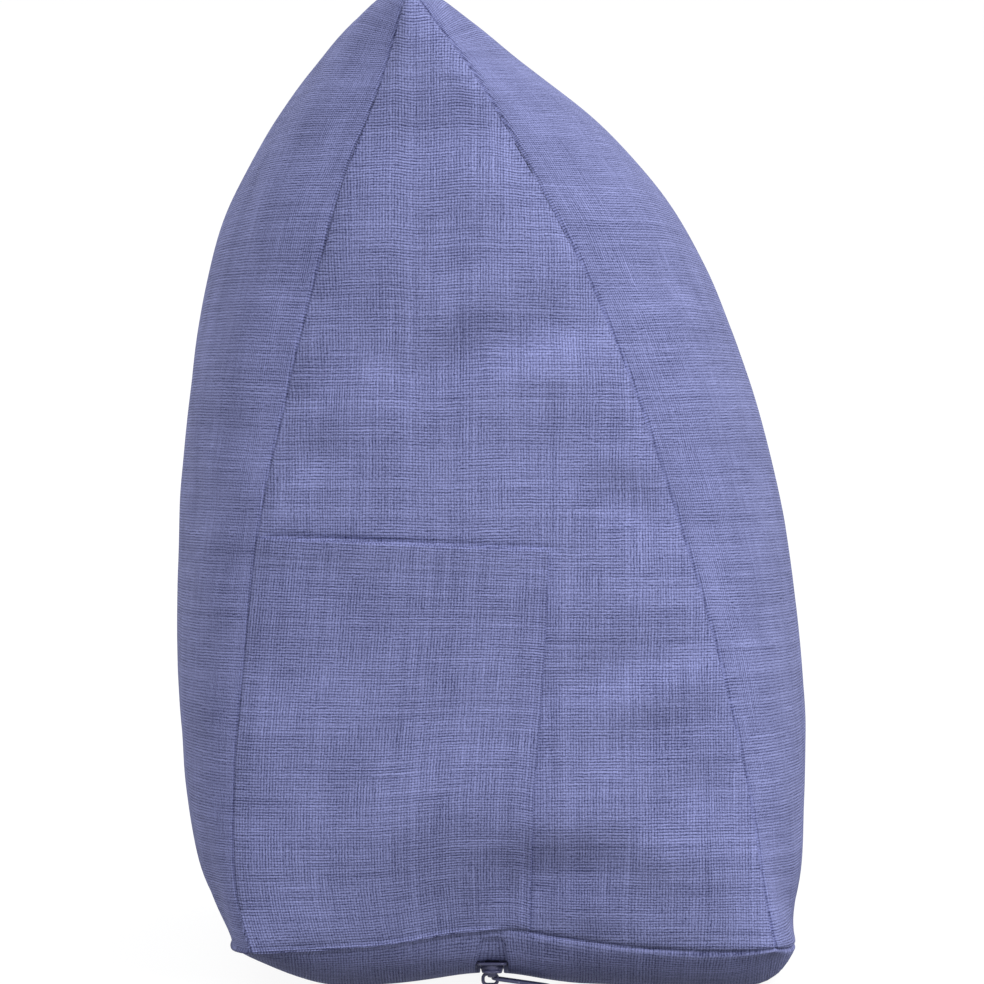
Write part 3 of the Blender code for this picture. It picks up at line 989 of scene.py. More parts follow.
    def held_points(self, mesh: bpy.types.Mesh, points: np.ndarray) -> np.ndarray:
        """Return the points on seams and on the floor.

        Args:
            mesh: the cover's mesh, with panels marked.
            points: its points.

        Returns:
            Their numbers.
        """
        panels: dict[int, set[int]] = {}
        for face in mesh.polygons:
            for corner in face.vertices:
                panels.setdefault(corner, set()).add(face.material_index)
        on_seam = {corner for corner, found in panels.items() if len(found) > 1}
        low = np.flatnonzero(points[:, 2] < self.held_below)
        return np.array(sorted(on_seam | set(low.tolist())))

    def creases(self, mesh: bpy.types.Mesh, start: np.ndarray, swelled: np.ndarray,
                held: np.ndarray) -> np.ndarray:
        """Keep the creases of a swelled cover on the outline that it had before.

        Args:
            mesh: the cover's mesh.
            start: its points before.
            swelled: its points after.
            held: the numbers of points that stay.

        Returns:
            The new points.
        """
        ends = np.array([edge.vertices[:] for edge in mesh.edges])
        move = swelled - start
        weight = np.bincount(ends.ravel(), minlength=len(start))[:, None]

        def even(field: np.ndarray, rounds: int) -> np.ndarray:
            """Average a field with its neighbours, and keep it still at the held points.

            Args:
                field: one row for each point.
                rounds: how often.

            Returns:
                The evened field.
            """
            for _ in range(rounds):
                total = np.zeros_like(field)
                np.add.at(total, ends[:, 0], field[ends[:, 1]])
                np.add.at(total, ends[:, 1], field[ends[:, 0]])
                field = 0.5 * field + 0.5 * total / weight
                field[held] = 0
            return field

        crease = move - even(move, self.crease_spread)
        size = np.linalg.norm(crease, axis=1, keepdims=True)
        crease *= np.minimum(1.0, self.crease_cap / np.maximum(size, 1e-9))
        crease[held] = 0
        crease = even(crease, 3)
        LOG.info("creases up to %.1f mm", 1000 * float(size.max()))
        return start + crease

    def press_folds(self, mesh: bmesh.types.BMesh) -> None:
        """Press the soft folds and a slight unevenness into the cover.

        Args:
            mesh: the cover, subdivided.
        """
        mesh.normal_update()
        near_seam = -self.form.length / 2
        shifts = []
        for vert in mesh.verts:
            x, y, z = vert.co
            nearness = min(max((near_seam + self.fold_run - y) / self.fold_run, 0.0), 1.0)
            fade = nearness * max(-vert.normal.y, 0.0)
            inward = fade * sum(fold.press(x, z) for fold in self.folds) if fade > 0 else 0.0
            uneven = sum(noise.noise(vert.co * scale) * height for scale, height in self.uneven)
            free = min(max(z / self.free_above, 0.0), 1.0)
            shifts.append(Vector((0.0, inward, 0.0)) - vert.normal * (uneven * free))
        for vert, shift in zip(list(mesh.verts), shifts):
            vert.co += shift
            vert.co.z = max(vert.co.z, 0.0)

    def crease_mouth(self, mesh: bmesh.types.BMesh) -> None:
        """Draw the cover in along the pocket's mouth, deepest where the mouth gapes.

        Args:
            mesh: the cover, subdivided.
        """
        (x0, z0), (x1, z1) = self.mouth
        run = Vector((x1 - x0, 0.0, z1 - z0)).normalized()
        up = Vector((-run.z, 0.0, run.x))
        start = Vector((x0, 0.0, z0))
        line, half_width = self.mouth_line
        everywhere, in_gape = self.mouth_depths
        gape_x, gape_reach = self.mouth_gape
        lowest, highest = self.mouth_band
        right = x1 + self.mouth_fade
        for rise in self.mouth_cuts:
            faces = [face for face in mesh.faces if face.material_index == Panel.NEAR_END.value
                     and x0 < face.calc_center_median().x < x1 + self.mouth_past]
            self.cut_panel(mesh, faces, start + up * rise, up)
        for vert in mesh.verts:
            x, y, _ = vert.co
            if y > self.near_side or not x0 < x < right:
                continue
            above = (vert.co - start).dot(up)
            if lowest < above < highest:
                fade = min(1.0, (x - x0) / self.mouth_fade, (right - x) / self.mouth_fade)
                depth = everywhere + in_gape * math.exp(-((x - gape_x) / gape_reach) ** 2)
                vert.co.y += fade * depth * math.exp(-((above - line) / half_width) ** 2)

    @staticmethod
    def cut_panel(mesh: bmesh.types.BMesh, faces: Sequence[bmesh.types.BMFace], place: Vector,
                  facing: Vector) -> None:
        """Cut faces along a plane, so that they can be drawn in or turned in there.

        Args:
            mesh: the cover.
            faces: its faces to cut.
            place: a point on the plane.
            facing: the plane's direction.
        """
        geometry = dict.fromkeys(item for face in faces for item in (*face.verts, *face.edges, face))
        bmesh.ops.bisect_plane(mesh, geom=list(geometry), dist=1e-6, plane_co=place, plane_no=facing)

    def open_slit(self, mesh: bmesh.types.BMesh) -> None:
        """Cut the slit over the zip into the base, turn its lips in and open it round the slider.

        Args:
            mesh: the cover, subdivided.
        """
        cuts = [(Vector((x, 0.0, 0.0)), Vector((1.0, 0.0, 0.0)))
                for x in (self.slit, self.slit + self.slit_lip, -self.slit, -self.slit - self.slit_lip)]
        cuts += [(Vector((0.0, y, 0.0)), Vector((0.0, 1.0, 0.0)))
                 for y in (*(step - self.slit_end for step in (0.0, self.slit_fade, 2 * self.slit_fade)),
                           *(step + self.slider_y for step in self.slider_cuts))]
        for place, facing in cuts:
            self.cut_panel(mesh, [face for face in mesh.faces
                                  if face.material_index == Panel.BASE.value], place, facing)
        base = {vert for face in mesh.faces if face.material_index == Panel.BASE.value
                for vert in face.verts}
        for vert in base:
            x, y, z = vert.co
            inside = min(max((self.slit_end - abs(y)) / self.slit_fade, 0.0), 1.0)
            opened = self.opening * inside / (1 + ((y - self.slider_y) / self.slider_half) ** 6)
            if abs(x) < self.slit + self.slit_slack:
                vert.co.z = z + inside * max(self.slit_lift, self.slit_roof - z)
                vert.co.x = x * (1 + opened / self.slit)
            elif abs(x) < self.opening_reach:
                gap = self.opening_reach - abs(x)
                vert.co.x = x + math.copysign(opened * gap / (self.opening_reach - self.slit), x)

    def draw_seams(self, mesh: bmesh.types.BMesh) -> None:
        """Turn each seam into a soft valley with a narrow crease along its middle.

        Args:
            mesh: the cover, with each face marked by its panel.
        """
        for width, depth in self.seam_steps:
            made = bmesh.ops.bevel(mesh, geom=self.seams(mesh), offset=width, segments=2, profile=0.5,
                                   affect="EDGES", material=-1, clamp_overlap=False)
            rolled = set(made["faces"])
            self.settle_cloth(mesh, rolled)
            bmesh.ops.smooth_vert(mesh, verts=made["verts"], factor=self.seam_smoothing,
                                  use_axis_x=True, use_axis_y=True, use_axis_z=True)
            mesh.normal_update()
            middle = [vert for vert in made["verts"] if all(face in rolled for face in vert.link_faces)]
            for vert in middle:
                vert.co -= vert.normal * depth * self.seam_share(vert.co)
                vert.co.z = max(vert.co.z, 0.0)
        LOG.info("seams: %d points drawn in", len(middle))

    def seam_share(self, place: Vector) -> float:
        """Return how much of its depth a seam has: the near base seam stands up left of the slider.

        Args:
            place: a point on a seam.

        Returns:
            1 for a full crease, below 0 for a ridge.
        """
        if place.y >= 0 or place.z >= self.base_seam_top:
            return 1.0
        return self.ridge_turn * min(max((place.x - self.ridge_end) / self.ridge_run, 0.0), 1.0) - 1.0

    @staticmethod
    def settle_cloth(mesh: bmesh.types.BMesh, rolled: set[bmesh.types.BMFace]) -> None:
        """Give the rolled edges of each seam to the panels beside them, with the weave running on.

        Args:
            mesh: the cover.
            rolled: the new faces along its seams.
        """
        uv = mesh.loops.layers.uv[UV_NAME]
        for face in rolled:
            beside = [other for edge in face.edges for other in edge.link_faces if other not in rolled]
            known = {}
            if beside:
                face.material_index = beside[0].material_index
                known = {loop.vert: loop[uv].uv.copy() for loop in beside[0].loops}
            panel = Panel(face.material_index)
            for loop in face.loops:
                x, y, z = loop.vert.co
                if loop.vert in known:
                    loop[uv].uv = known[loop.vert]
                elif panel is Panel.WRAP and known:
                    near = min(known, key=lambda vert: (vert.co - loop.vert.co).length)
                    reach = math.copysign((near.co - loop.vert.co).length, known[near].x)
                    loop[uv].uv = (known[near].x + reach, known[near].y)
                else:
                    loop[uv].uv = (x, y if panel is Panel.BASE else z)

    def build(self, material: bpy.types.Material) -> bpy.types.Object:
        """Build the cover.

        Args:
            material: its cloth.

        Returns:
            The cover.
        """
        rough = self.grid()
        loose = [vert for vert in rough.verts if vert.co.z > 1e-6
                 and len({face.material_index for face in vert.link_faces}) == 1]
        for _ in range(4):
            bmesh.ops.smooth_vert(rough, verts=loose, factor=0.5,
                                  use_axis_x=True, use_axis_y=True, use_axis_z=True)
        piece = finish_piece("cushion_cover", rough, material, ["cushion"])
        self.swell(piece)
        finer = piece.modifiers.new("finer", "SUBSURF")
        finer.levels = 1
        finer.render_levels = 1
        shown = piece.evaluated_get(bpy.context.evaluated_depsgraph_get())
        mesh = bmesh.new()
        mesh.from_mesh(shown.to_mesh())
        piece.modifiers.remove(finer)
        self.press_folds(mesh)
        self.crease_mouth(mesh)
        self.open_slit(mesh)
        self.draw_seams(mesh)
        for face in mesh.faces:
            face.material_index = 0
            face.smooth = True
        self.tree = BVHTree.FromBMesh(mesh)
        mesh.to_mesh(piece.data)
        mesh.free()
        return piece


@dataclass
class Pocket:
    """The flat patch pocket, caught in the back and base seams, with a hemmed mouth."""

    form: WedgeForm
    cells: tuple[int, int] = (64, 90)
    top_left_z: float = 0.2014
    right_edge: tuple[Pair, ...] = (
        (0.0167, 0.0270), (0.0172, 0.0500), (0.0180, 0.0862), (0.0211, 0.1236), (0.0235, 0.1600),
        (0.0250, 0.1962),
    )
    hem: float = 0.0110
    turned: float = 0.0026
    thick: float = 0.0009
    lift: float = 0.0004
    rounding: float = 0.0009
    gape: float = 0.0024
    gape_x: float = -0.0540
    gape_reach: float = 0.028
    gape_fall: float = 0.016
    lip_rise: float = 0.0011
    lip_fall: float = 0.007
    stitch_dip: float = 0.00045
    stitch_half: float = 0.0007
    hem_row: float = 0.0016
    second_row: float = 0.0052
    turned_width: float = 0.006
    fold_rise: float = 0.00055
    fold_edge: float = 0.0005
    caught_reach: float = 0.004
    back_reach: float = 0.012
    deepest: float = 0.0065
    crowding: float = 0.75
    cut: Pair = (0.1310, 0.1870)

    def edge_points(self, s: float, r: float) -> tuple[np.ndarray, ...]:
        """Return the points of the four edges that a place of the pocket is blended from.

        Args:
            s: place across, from 0 at the back seam to 1 at the free edge.
            r: place upwards, from 0 at the base seam to 1 at the mouth.

        Returns:
            Left, right, low and high points as x and z.
        """
        table = np.array(self.right_edge)
        low_z = self.form.seam_z(-0.1)
        left_z = low_z + (self.top_left_z - low_z) * r
        right_z = table[0, 1] + (table[-1, 1] - table[0, 1]) * r
        left = np.array([self.form.seam_x(left_z), left_z])
        right = np.array([np.interp(right_z, table[:, 1], table[:, 0]), right_z])
        low_x = self.form.seam_x(low_z) * (1 - s) + table[0, 0] * s
        low = np.array([low_x, self.form.seam_z(low_x)])
        high_x = self.form.seam_x(self.top_left_z) * (1 - s) + table[-1, 0] * s
        high_z = self.top_left_z + (table[-1, 1] - self.top_left_z) * s
        return left, right, low, np.array([high_x, high_z])

    def place(self, s: float, r: float) -> np.ndarray:
        """Return x and z of a place on the pocket.

        Args:
            s: place across, from 0 to 1.
            r: place upwards, from 0 to 1.

        Returns:
            x and z.
        """
        left, right, low, high = self.edge_points(s, r)
        low_left, low_right = self.edge_points(0, 0)[0], self.edge_points(1, 0)[1]
        high_left, high_right = self.edge_points(0, 1)[0], self.edge_points(1, 1)[1]
        corners = ((1 - s) * ((1 - r) * low_left + r * high_left)
                   + s * ((1 - r) * low_right + r * high_right))
        return (1 - s) * left + s * right + (1 - r) * low + r * high - corners

    def proud(self, x: float, from_left: float, from_right: float, from_low: float,
              from_top: float) -> float:
        """Return how far the pocket's outer face stands off the cushion.

        Args:
            x: place across, in scene coordinates.
            from_left: distance from the back seam.
            from_right: distance from the free edge.
            from_low: distance from the base seam.
            from_top: distance from the mouth.

        Returns:
            Metres.
        """
        def stitch(distance: float, line: float) -> float:
            """Return the dip along a stitch line."""
            return self.stitch_dip * math.exp(-((distance - line) / self.stitch_half) ** 2)

        caught = min(from_left, from_low) / self.caught_reach
        off = self.lift + self.thick * min(1.0, 0.35 + 0.65 * caught)
        past = min(from_top - self.hem, from_right - self.turned - self.turned_width)
        doubled = 1 / (1 + math.exp(past / self.fold_edge))
        off += self.fold_rise * doubled * min(1.0, caught)
        off -= stitch(from_top, self.hem - self.hem_row) + stitch(from_right, self.turned)
        off -= 0.6 * stitch(from_right, self.turned + self.second_row)
        mouth = math.exp(-((x - self.gape_x) / self.gape_reach) ** 2)
        mouth *= math.exp(-from_top / self.gape_fall)
        raised = self.gape * mouth + self.lip_rise * math.exp(-from_top / self.lip_fall)
        off += raised * min(1.0, from_left / self.back_reach)
        edge = min(from_right, from_top)
        if edge < self.rounding:
            off -= self.thick * 0.8 * (1 - math.sqrt(1 - (1 - edge / self.rounding) ** 2))
        return off

    def build(self, material: bpy.types.Material, tree: BVHTree) -> bpy.types.Object:
        """Lay the pocket on the near end.

        Args:
            material: its cloth.
            tree: the cover's surface.

        Returns:
            The pocket.
        """
        mesh = bmesh.new()
        bmesh.ops.create_grid(mesh, x_segments=self.cells[0], y_segments=self.cells[1], size=0.5)
        uv = mesh.loops.layers.uv.new(UV_NAME)
        width, height = self.cut
        flat = {}
        for vert in mesh.verts:
            s, r = (value + 0.5 - self.crowding * math.sin(2 * math.pi * (value + 0.5)) / (2 * math.pi)
                    for value in vert.co[:2])
            x, z = self.place(s, r)
            hit = tree.ray_cast(Vector((x, -0.5, z)), Vector((0.0, 1.0, 0.0)))[0]
            deepest = -self.form.seam_depth(z) + self.deepest
            y = deepest if hit is None else min(hit.y, deepest)
            off = self.proud(x, s * width, (1 - s) * width, r * height, (1 - r) * height)
            flat[vert] = (s * width, r * height)
            vert.co = Vector((x, y - off, z))
        for face in mesh.faces:
            for loop in face.loops:
                loop[uv].uv = flat[loop.vert]
        bmesh.ops.recalc_face_normals(mesh, faces=mesh.faces)
        mesh.normal_update()
        aim = Vector((-0.04, -0.24, 0.1))
        middle = min(mesh.faces, key=lambda face: (face.calc_center_median() - aim).length)
        if middle.normal.y > 0:
            bmesh.ops.reverse_faces(mesh, faces=mesh.faces)
        piece = finish_piece("pocket_panel", mesh, material, ["pocket"])
        wall = piece.modifiers.new("wall", "SOLIDIFY")
        wall.thickness = self.thick
        wall.offset = -1.0
        return piece


@dataclass
class Zip:
    """The closed coil zip in the base, with its slider at the pocket end."""

    tape_inner: float = 0.0031
    tape_width: float = 0.0104
    tape_thick: float = 0.0008
    level: float = 0.0109
    half_length: float = 0.2090
    end_allowance: float = 0.0020
    behind_lip: float = 0.0026
    level_half: float = 0.2005
    hidden_half: float = 0.2085
    coil_ends: Pair = (-0.2020, 0.2085)
    coil_pitch: float = 0.0013
    coil_wire: float = 0.0009
    coil_half: float = 0.0026
    slider_near: float = -0.2085
    slider_length: float = 0.0170
    slider_width: float = 0.0136
    tail_width: float = 0.0100
    plate: float = 0.0012
    gap: float = 0.0003
    coil_thick: float = 0.0018
    bail_wire: float = 0.0012
    bail_width: float = 0.0040
    lower_share: float = 0.66
    wedge_half: float = 0.0047
    flange_run: Pair = (0.0032, 0.0140)
    bail_reach: float = 0.0026
    bail_half: float = 0.0042
    link_wire: float = 0.0016
    link_left: float = -0.0040
    link_right: float = 0.0024
    link_low: float = 0.0018
    link_bend: float = 0.0018
    puller_size: tuple[float, float, float] = (0.0270, 0.0076, 0.0014)
    puller_rise: float = 0.0038
    eye_x: float = 0.0028
    eye_size: Pair = (0.0024, 0.0040)
    eye_near: float = 0.0016

    def tape(self, side: int, material: bpy.types.Material, tree: BVHTree) -> bpy.types.Object:
        """Lay one tape: its inner edge beside the coil, the rest behind the lip of the base.

        Args:
            side: -1 for the back half, 1 for the front.
            material: its weave.
            tree: the cover's surface.

        Returns:
            The tape.
        """
        mesh = bmesh.new()
        bmesh.ops.create_grid(mesh, x_segments=4, y_segments=110, size=0.5)
        for vert in mesh.verts:
            x = side * (self.tape_inner + (vert.co.x + 0.5) * self.tape_width)
            y = vert.co.y * 2 * self.half_length
            hit = tree.ray_cast(Vector((x, y, -0.01)), Vector((0.0, 0.0, 1.0)))[0]
            inside = self.level if hit is None else hit.z + self.behind_lip
            rise = min(max((abs(y) - self.level_half) / (self.hidden_half - self.level_half), 0.0), 1.0)
            vert.co = Vector((x, y, self.level + max(inside - self.level, 0.0) * rise))
        bmesh.ops.recalc_face_normals(mesh, faces=mesh.faces)
        mesh.normal_update()
        if next(iter(mesh.faces)).normal.z < 0:
            bmesh.ops.reverse_faces(mesh, faces=mesh.faces)
        half = "back" if side < 0 else "front"
        piece = finish_piece(f"tape_{half}", mesh, material, [f"zip_tape_{half}"])
        wall = piece.modifiers.new("wall", "SOLIDIFY")
        wall.thickness = self.tape_thick
        wall.offset = -1.0
        return piece

    def coil(self, material: bpy.types.Material) -> bpy.types.Object:
        """Build the closed coil, its two rows of turns meshed along the middle.

        Args:
            material: its plastic.

        Returns:
            The coil.
        """
        mesh = bmesh.new()
        middle = self.level - self.coil_thick / 2
        count = int((self.coil_ends[1] - self.coil_ends[0]) / self.coil_pitch)
        for index in range(2 * count):
            side = 1 if index % 2 else -1
            y = self.coil_ends[0] + self.coil_wire / 2 + index * self.coil_pitch / 2
            turn = bmesh.ops.create_uvsphere(mesh, u_segments=6, v_segments=4, radius=0.5)["verts"]
            bmesh.ops.rotate(mesh, verts=turn, cent=(0, 0, 0), matrix=Matrix.Rotation(math.pi / 2, 3, "Y"))
            bmesh.ops.scale(mesh, verts=turn, vec=(self.coil_half * 1.55, self.coil_wire, self.coil_thick))
            bmesh.ops.translate(mesh, verts=turn, vec=(side * self.coil_half * 0.22, y, middle))
        return finish_piece("coil_turns", mesh, material, ["zip_coil"])

    def outline(self, share: float) -> list[Pair]:
        """Return a plate's outline, wide at its mouth and narrow at its tail.

        Args:
            share: its width against the slider's full width.

        Returns:
            Points in x and y.
        """
        half, tail = share * self.slider_width / 2, share * self.tail_width / 2
        near, far = self.slider_near, self.slider_near + self.slider_length
        round_near, round_far = 0.0030, 0.0020
        right = []
        for step in range(7):
            angle = math.radians(-90 + 15 * step)
            right.append((half + round_near * (math.cos(angle) - 1),
                          near + round_near * (math.sin(angle) + 1)))
        right.append((half, near + 0.0088))
        for step in range(7):
            angle = math.radians(15 * step)
            right.append((tail + round_far * (math.cos(angle) - 1),
                          far + round_far * (math.sin(angle) - 1)))
        return right + [(-x, y) for x, y in reversed(right)]

    def slab(self, outline: Sequence[Pair], low: float, high: float, edge: float) -> bmesh.types.BMesh:
        """Return a flat plate with rolled edges.

        Args:
            outline: its outline in x and y.
            low: its underside.
            high: its top.
            edge: the radius of its edges.

        Returns:
            The plate.
        """
        mesh = bmesh.new()
        face = mesh.faces.new([mesh.verts.new((x, y, low)) for x, y in outline])
        grown = bmesh.ops.extrude_face_region(mesh, geom=[face], use_keep_orig=True)
        top = [item for item in grown["geom"] if isinstance(item, bmesh.types.BMVert)]
        bmesh.ops.translate(mesh, verts=top, vec=(0.0, 0.0, high - low))
        bmesh.ops.recalc_face_normals(mesh, faces=mesh.faces)
        rims = [item for item in mesh.edges if abs(item.verts[0].co.z - item.verts[1].co.z) < 1e-7]
        bmesh.ops.bevel(mesh, geom=rims, offset=edge, segments=3, profile=0.5, affect="EDGES",
                        material=-1, clamp_overlap=True)
        return mesh

    @staticmethod
    def join(target: bmesh.types.BMesh, added: bmesh.types.BMesh) -> None:
        """Add one shape to another.

        Args:
            target: the shape that grows.
            added: the shape that it takes in.
        """
        carrier = bpy.data.meshes.new("carrier")
        added.to_mesh(carrier)
        added.free()
        target.from_mesh(carrier)
        bpy.data.meshes.remove(carrier)

    @staticmethod
    def wire(points: Sequence[Sequence[float]], thickness: float, closed: bool) -> bmesh.types.BMesh:
        """Return round wire along a route.

        Args:
            points: the route.
            thickness: across the wire.
            closed: whether its ends meet.

        Returns:
            The wire.
        """
        curve = bpy.data.curves.new("route", "CURVE")
        curve.dimensions = "3D"
        curve.bevel_depth = thickness / 2
        curve.bevel_resolution = 3
        curve.use_fill_caps = not closed
        route = curve.splines.new("POLY")
        route.points.add(len(points) - 1)
        for knot, point in zip(route.points, points):
            knot.co = (*point, 1.0)
        route.use_cyclic_u = closed
        guide = bpy.data.objects.new("route", curve)
        bpy.context.collection.objects.link(guide)
        bpy.context.view_layer.update()
        baked = bpy.data.meshes.new_from_object(guide.evaluated_get(bpy.context.evaluated_depsgraph_get()))
        mesh = bmesh.new()
        mesh.from_mesh(baked)
        bpy.data.objects.remove(guide, do_unlink=True)
        bpy.data.curves.remove(curve)
        bpy.data.meshes.remove(baked)
        bmesh.ops.remove_doubles(mesh, verts=mesh.verts, dist=1e-7)
        bmesh.ops.recalc_face_normals(mesh, faces=mesh.faces)
        return mesh

    @property
    def plate_low(self) -> float:
        """Underside of the slider's lower plate."""
        return self.level - self.coil_thick - self.gap - self.plate

    @property
    def slider_y(self) -> float:
        """Middle of the slider."""
        return self.slider_near + self.slider_length / 2

    def slider(self, material: bpy.types.Material) -> bpy.types.Object:
        """Build the slider: two plates with turned-in flanges, the wedge between them and the bail.

        Args:
            material: its enamel.

        Returns:
            The slider.
        """
        low = self.plate_low
        top = self.level + self.gap
        mesh = self.slab(self.outline(self.lower_share), low, low + self.plate, 0.0004)
        self.join(mesh, self.slab(self.outline(1.0), top, top + self.plate, 0.0004))
        near = self.slider_near
        sunk = self.plate / 2
        wedge = [(0.0, near + 0.0006), (self.wedge_half, near + 0.0030), (0.0, near + 0.0060),
                 (-self.wedge_half, near + 0.0030)]
        self.join(mesh, self.slab(wedge, low + sunk, top + sunk, 0.0002))
        half = self.slider_width / 2
        start, end = (near + step for step in self.flange_run)
        for side in (-1, 1):
            flange = self.slab([(-sunk, start), (sunk, start), (sunk, end), (-sunk, end)],
                               0.0, top - low - self.tape_thick - 0.0004, 0.00025)
            lean = math.atan2(half * (1 - self.lower_share) - sunk, top - low)
            bmesh.ops.rotate(flange, verts=flange.verts, cent=(0, 0, 0),
                             matrix=Matrix.Rotation(side * lean, 3, "Y"))
            bmesh.ops.translate(flange, verts=flange.verts,
                                vec=(side * (half * self.lower_share - 0.0009), 0.0, low + 0.0003))
            self.join(mesh, flange)
        reach = self.bail_reach - self.bail_wire / 2
        route = [(0.0, self.slider_y - self.bail_half, low + sunk)]
        for step in range(13):
            angle = math.pi * step / 12
            across = math.copysign(abs(math.cos(angle)) ** 0.5, math.cos(angle))
            route.append((0.0, self.slider_y - self.bail_half * across,
                          low - reach * math.sin(angle) ** 0.5))
        route.append((0.0, self.slider_y + self.bail_half, low + sunk))
        bail = self.wire(route, self.bail_wire, False)
        bmesh.ops.scale(bail, verts=bail.verts, vec=(self.bail_width / self.bail_wire, 1.0, 1.0))
        self.join(mesh, bail)
        return finish_piece("slider_body", mesh, material, ["zip_slider"])

    def link(self, material: bpy.types.Material) -> bpy.types.Object:
        """Build the wire link that hangs in the bail.

        Args:
            material: its enamel.

        Returns:
            The link.
        """
        bend = self.link_bend
        left, right = self.link_left + bend, self.link_right - bend
        low, high = self.link_low + bend, self.plate_low - self.gap - self.link_wire / 2 - bend
        points = []
        for x, z, start in ((right, high, 0), (left, high, 90), (left, low, 180), (right, low, 270)):
            for step in range(7):
                angle = math.radians(start + 15 * step)
                points.append((x + bend * math.cos(angle), self.slider_y, z + bend * math.sin(angle)))
        return finish_piece("pull_link", self.wire(points, self.link_wire, True), material,
                            ["zip_link"])

    def puller(self, material: bpy.types.Material) -> bpy.types.Object:
        """Build the pull tab: a plate with rounded ends and rounded edges, and an eye round the link.

        Args:
            material: its enamel.

        Returns:
            The pull tab.
        """
        length, width, thick = self.puller_size
        half = width / 2
        outline = []
        for centre, start in ((length - half, -90), (half, 90)):
            for step in range(13):
                angle = math.radians(start + 15 * step)
                outline.append((centre + half * math.cos(angle), half * math.sin(angle)))
        mesh = bmesh.new()
        outer = [mesh.verts.new((x, y, 0.0)) for x, y in outline]
        face = mesh.faces.new(outer)
        eye = bmesh.ops.create_circle(mesh, segments=16, radius=0.5,
                                      matrix=Matrix.Translation((self.eye_x, 0.0, 0.0)))["verts"]
        bmesh.ops.scale(mesh, verts=eye, vec=(*self.eye_size, 1.0),
                        space=Matrix.Translation((-self.eye_x, 0.0, 0.0)))
        bmesh.ops.delete(mesh, geom=[face], context="FACES_ONLY")
        bmesh.ops.triangle_fill(mesh, use_beauty=True, use_dissolve=True, edges=mesh.edges[:])
        grown = bmesh.ops.extrude_face_region(mesh, geom=mesh.faces[:], use_keep_orig=True)
        top = [item for item in grown["geom"] if isinstance(item, bmesh.types.BMVert)]
        bmesh.ops.translate(mesh, verts=top, vec=(0.0, 0.0, thick))
        bmesh.ops.recalc_face_normals(mesh, faces=mesh.faces)
        rims = [item for item in mesh.edges if abs(item.verts[0].co.z - item.verts[1].co.z) < 1e-7
                and len(item.link_faces) == 2 and item.calc_face_angle(0) > 1.0]
        bmesh.ops.bevel(mesh, geom=rims, offset=0.00035, segments=3, profile=0.5, affect="EDGES",
                        material=-1, clamp_overlap=True)
        tilt = Matrix.Rotation(math.asin(self.puller_rise / length), 4, "Y")
        start = self.link_right - self.link_wire / 2 - self.gap - self.eye_near
        mesh.transform(Matrix.Translation((start, self.slider_y, self.gap + self.puller_rise)) @ tilt)
        return finish_piece("pull_tab", mesh, material, ["zip_puller"])

    def build(self, tree: BVHTree) -> list[bpy.types.Object]:
        """Build the zip.

        Args:
            tree: the cover's surface.

        Returns:
            Its pieces.
        """
        tape = TapeTwill().material()
        coil = Enamel("coil_plastic", linear(52, 54, 84), linear(80, 84, 118), 0.0, 0.45).material()
        metal = Enamel("zip_enamel", linear(66, 67, 98), linear(128, 130, 156), 0.25).material()
        return [self.tape(-1, tape, tree), self.tape(1, tape, tree), self.coil(coil),
                self.slider(metal), self.link(metal), self.puller(metal)]


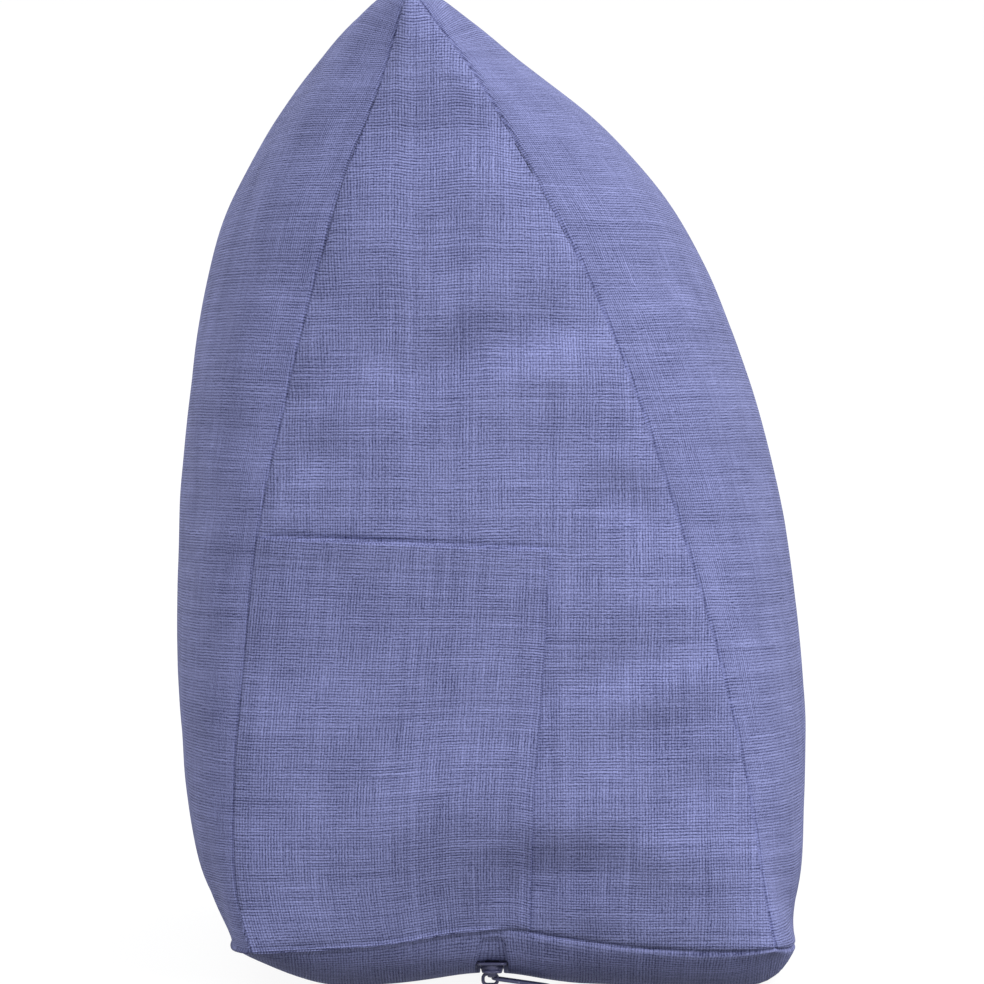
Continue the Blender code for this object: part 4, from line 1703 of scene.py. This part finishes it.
@dataclass
class Studio:
    """A pale floor that sweeps up behind the cushion, soft lights and the photograph's camera."""

    distance: float = 1.8
    pixel: float = 0.00044
    frame_pixels: int = 984
    eye_height: float = 0.2215
    near_end: float = -0.225
    above: float = 0.94
    below: float = 0.155
    key_power: float = 52.5
    floor_reach: float = 30.0
    sweep_start: float = 4.0
    sweep_radius: float = 1.0
    wall_top: float = 12.0

    def floor(self) -> None:
        """Build the floor and the sweep behind it."""
        mesh = bmesh.new()
        reach = self.floor_reach
        line = [mesh.verts.new((-reach, y, 0.0)) for y in (-reach, self.sweep_start)]
        mesh.edges.new(line)
        bmesh.ops.spin(mesh, geom=[line[-1]], cent=(0.0, self.sweep_start, self.sweep_radius),
                       axis=(1.0, 0.0, 0.0), angle=math.pi / 2, steps=10, use_merge=False)
        edges = mesh.edges[:]
        top = max(mesh.verts, key=lambda vert: vert.co.z)
        edges.append(mesh.edges.new((top, mesh.verts.new((-reach, top.co.y, self.wall_top)))))
        grown = bmesh.ops.extrude_edge_only(mesh, edges=edges)
        far = [item for item in grown["geom"] if isinstance(item, bmesh.types.BMVert)]
        bmesh.ops.translate(mesh, verts=far, vec=(2 * reach, 0.0, 0.0))
        bmesh.ops.recalc_face_normals(mesh, faces=mesh.faces)
        data = bpy.data.meshes.new("studio_floor")
        mesh.to_mesh(data)
        mesh.free()
        data.shade_smooth()
        graph = Graph("studio_white")
        graph.set(Base_Color=(0.13, 0.13, 0.13, 1.0), Roughness=1.0, Specular_IOR_Level=0.0)
        graph.set(Emission_Color=(1.0, 1.0, 1.0, 1.0), Emission_Strength=0.92)
        data.materials.append(graph.material)
        item = bpy.data.objects.new("studio_floor", data)
        item.visible_diffuse = False
        item.visible_shadow = False
        bpy.context.collection.objects.link(item)

    def air(self) -> None:
        """Light the studio evenly from above, and only faintly from below."""
        world = bpy.data.worlds.new("studio_air")
        world.use_nodes = True
        nodes, links = world.node_tree.nodes, world.node_tree.links
        direction = nodes.new("ShaderNodeTexCoord")
        parts = nodes.new("ShaderNodeSeparateXYZ")
        level = nodes.new("ShaderNodeMapRange")
        for socket, value in zip(level.inputs[1:5], (-0.15, -0.02, self.below, self.above)):
            socket.default_value = value
        links.new(direction.outputs["Generated"], parts.inputs[0])
        links.new(parts.outputs[2], level.inputs[0])
        links.new(level.outputs[0], nodes["Background"].inputs["Strength"])
        nodes["Background"].inputs["Color"].default_value = (1.0, 1.0, 1.0, 1.0)
        bpy.context.scene.world = world

    def lamp(self, name: str, place: Sequence[float], power: float, size: float) -> None:
        """Hang one soft square light that points at the cushion.

        Args:
            name: its name.
            place: where it hangs.
            power: watts.
            size: metres across.
        """
        data = bpy.data.lights.new(name, "AREA")
        data.energy = power
        data.size = size
        item = bpy.data.objects.new(name, data)
        item.location = place
        aim = Vector((0.0, 0.0, 0.22)) - Vector(place)
        item.rotation_euler = aim.to_track_quat("-Z", "Y").to_euler()
        bpy.context.collection.objects.link(item)

    def camera(self) -> None:
        """Stand the camera square to the pocket end, level with the cushion's middle."""
        data = bpy.data.cameras.new("camera")
        data.sensor_width = 36.0
        data.lens = data.sensor_width * self.distance / (self.frame_pixels * self.pixel)
        data.clip_end = 50.0
        item = bpy.data.objects.new("camera", data)
        item.location = (0.0, self.near_end - self.distance, self.eye_height)
        item.rotation_euler = (math.pi / 2, 0.0, 0.0)
        bpy.context.collection.objects.link(item)
        bpy.context.scene.camera = item

    def build(self) -> None:
        """Set the studio up."""
        self.floor()
        self.air()
        self.lamp("key", (1.6, -2.5, 1.95), self.key_power, 1.0)
        self.camera()
        bpy.context.scene.view_settings.view_transform = "Standard"


def main() -> None:
    """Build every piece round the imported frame."""
    logging.basicConfig(level=logging.INFO, format="%(message)s")
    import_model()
    Studio().build()
    form = WedgeForm()
    cover = Cover(form)
    pieces = [cover.build(LinenWeave("cover_linen").material())]
    pieces.append(Pocket(form).build(LinenWeave("pocket_linen", shift=(0.41, 0.23, 0.0)).material(),
                                     cover.tree))
    pieces.extend(Zip().build(cover.tree))
    for piece in pieces:
        LOG.info("%s: %d faces", piece.name, len(piece.data.polygons))


if __name__ == "__main__":
    main()
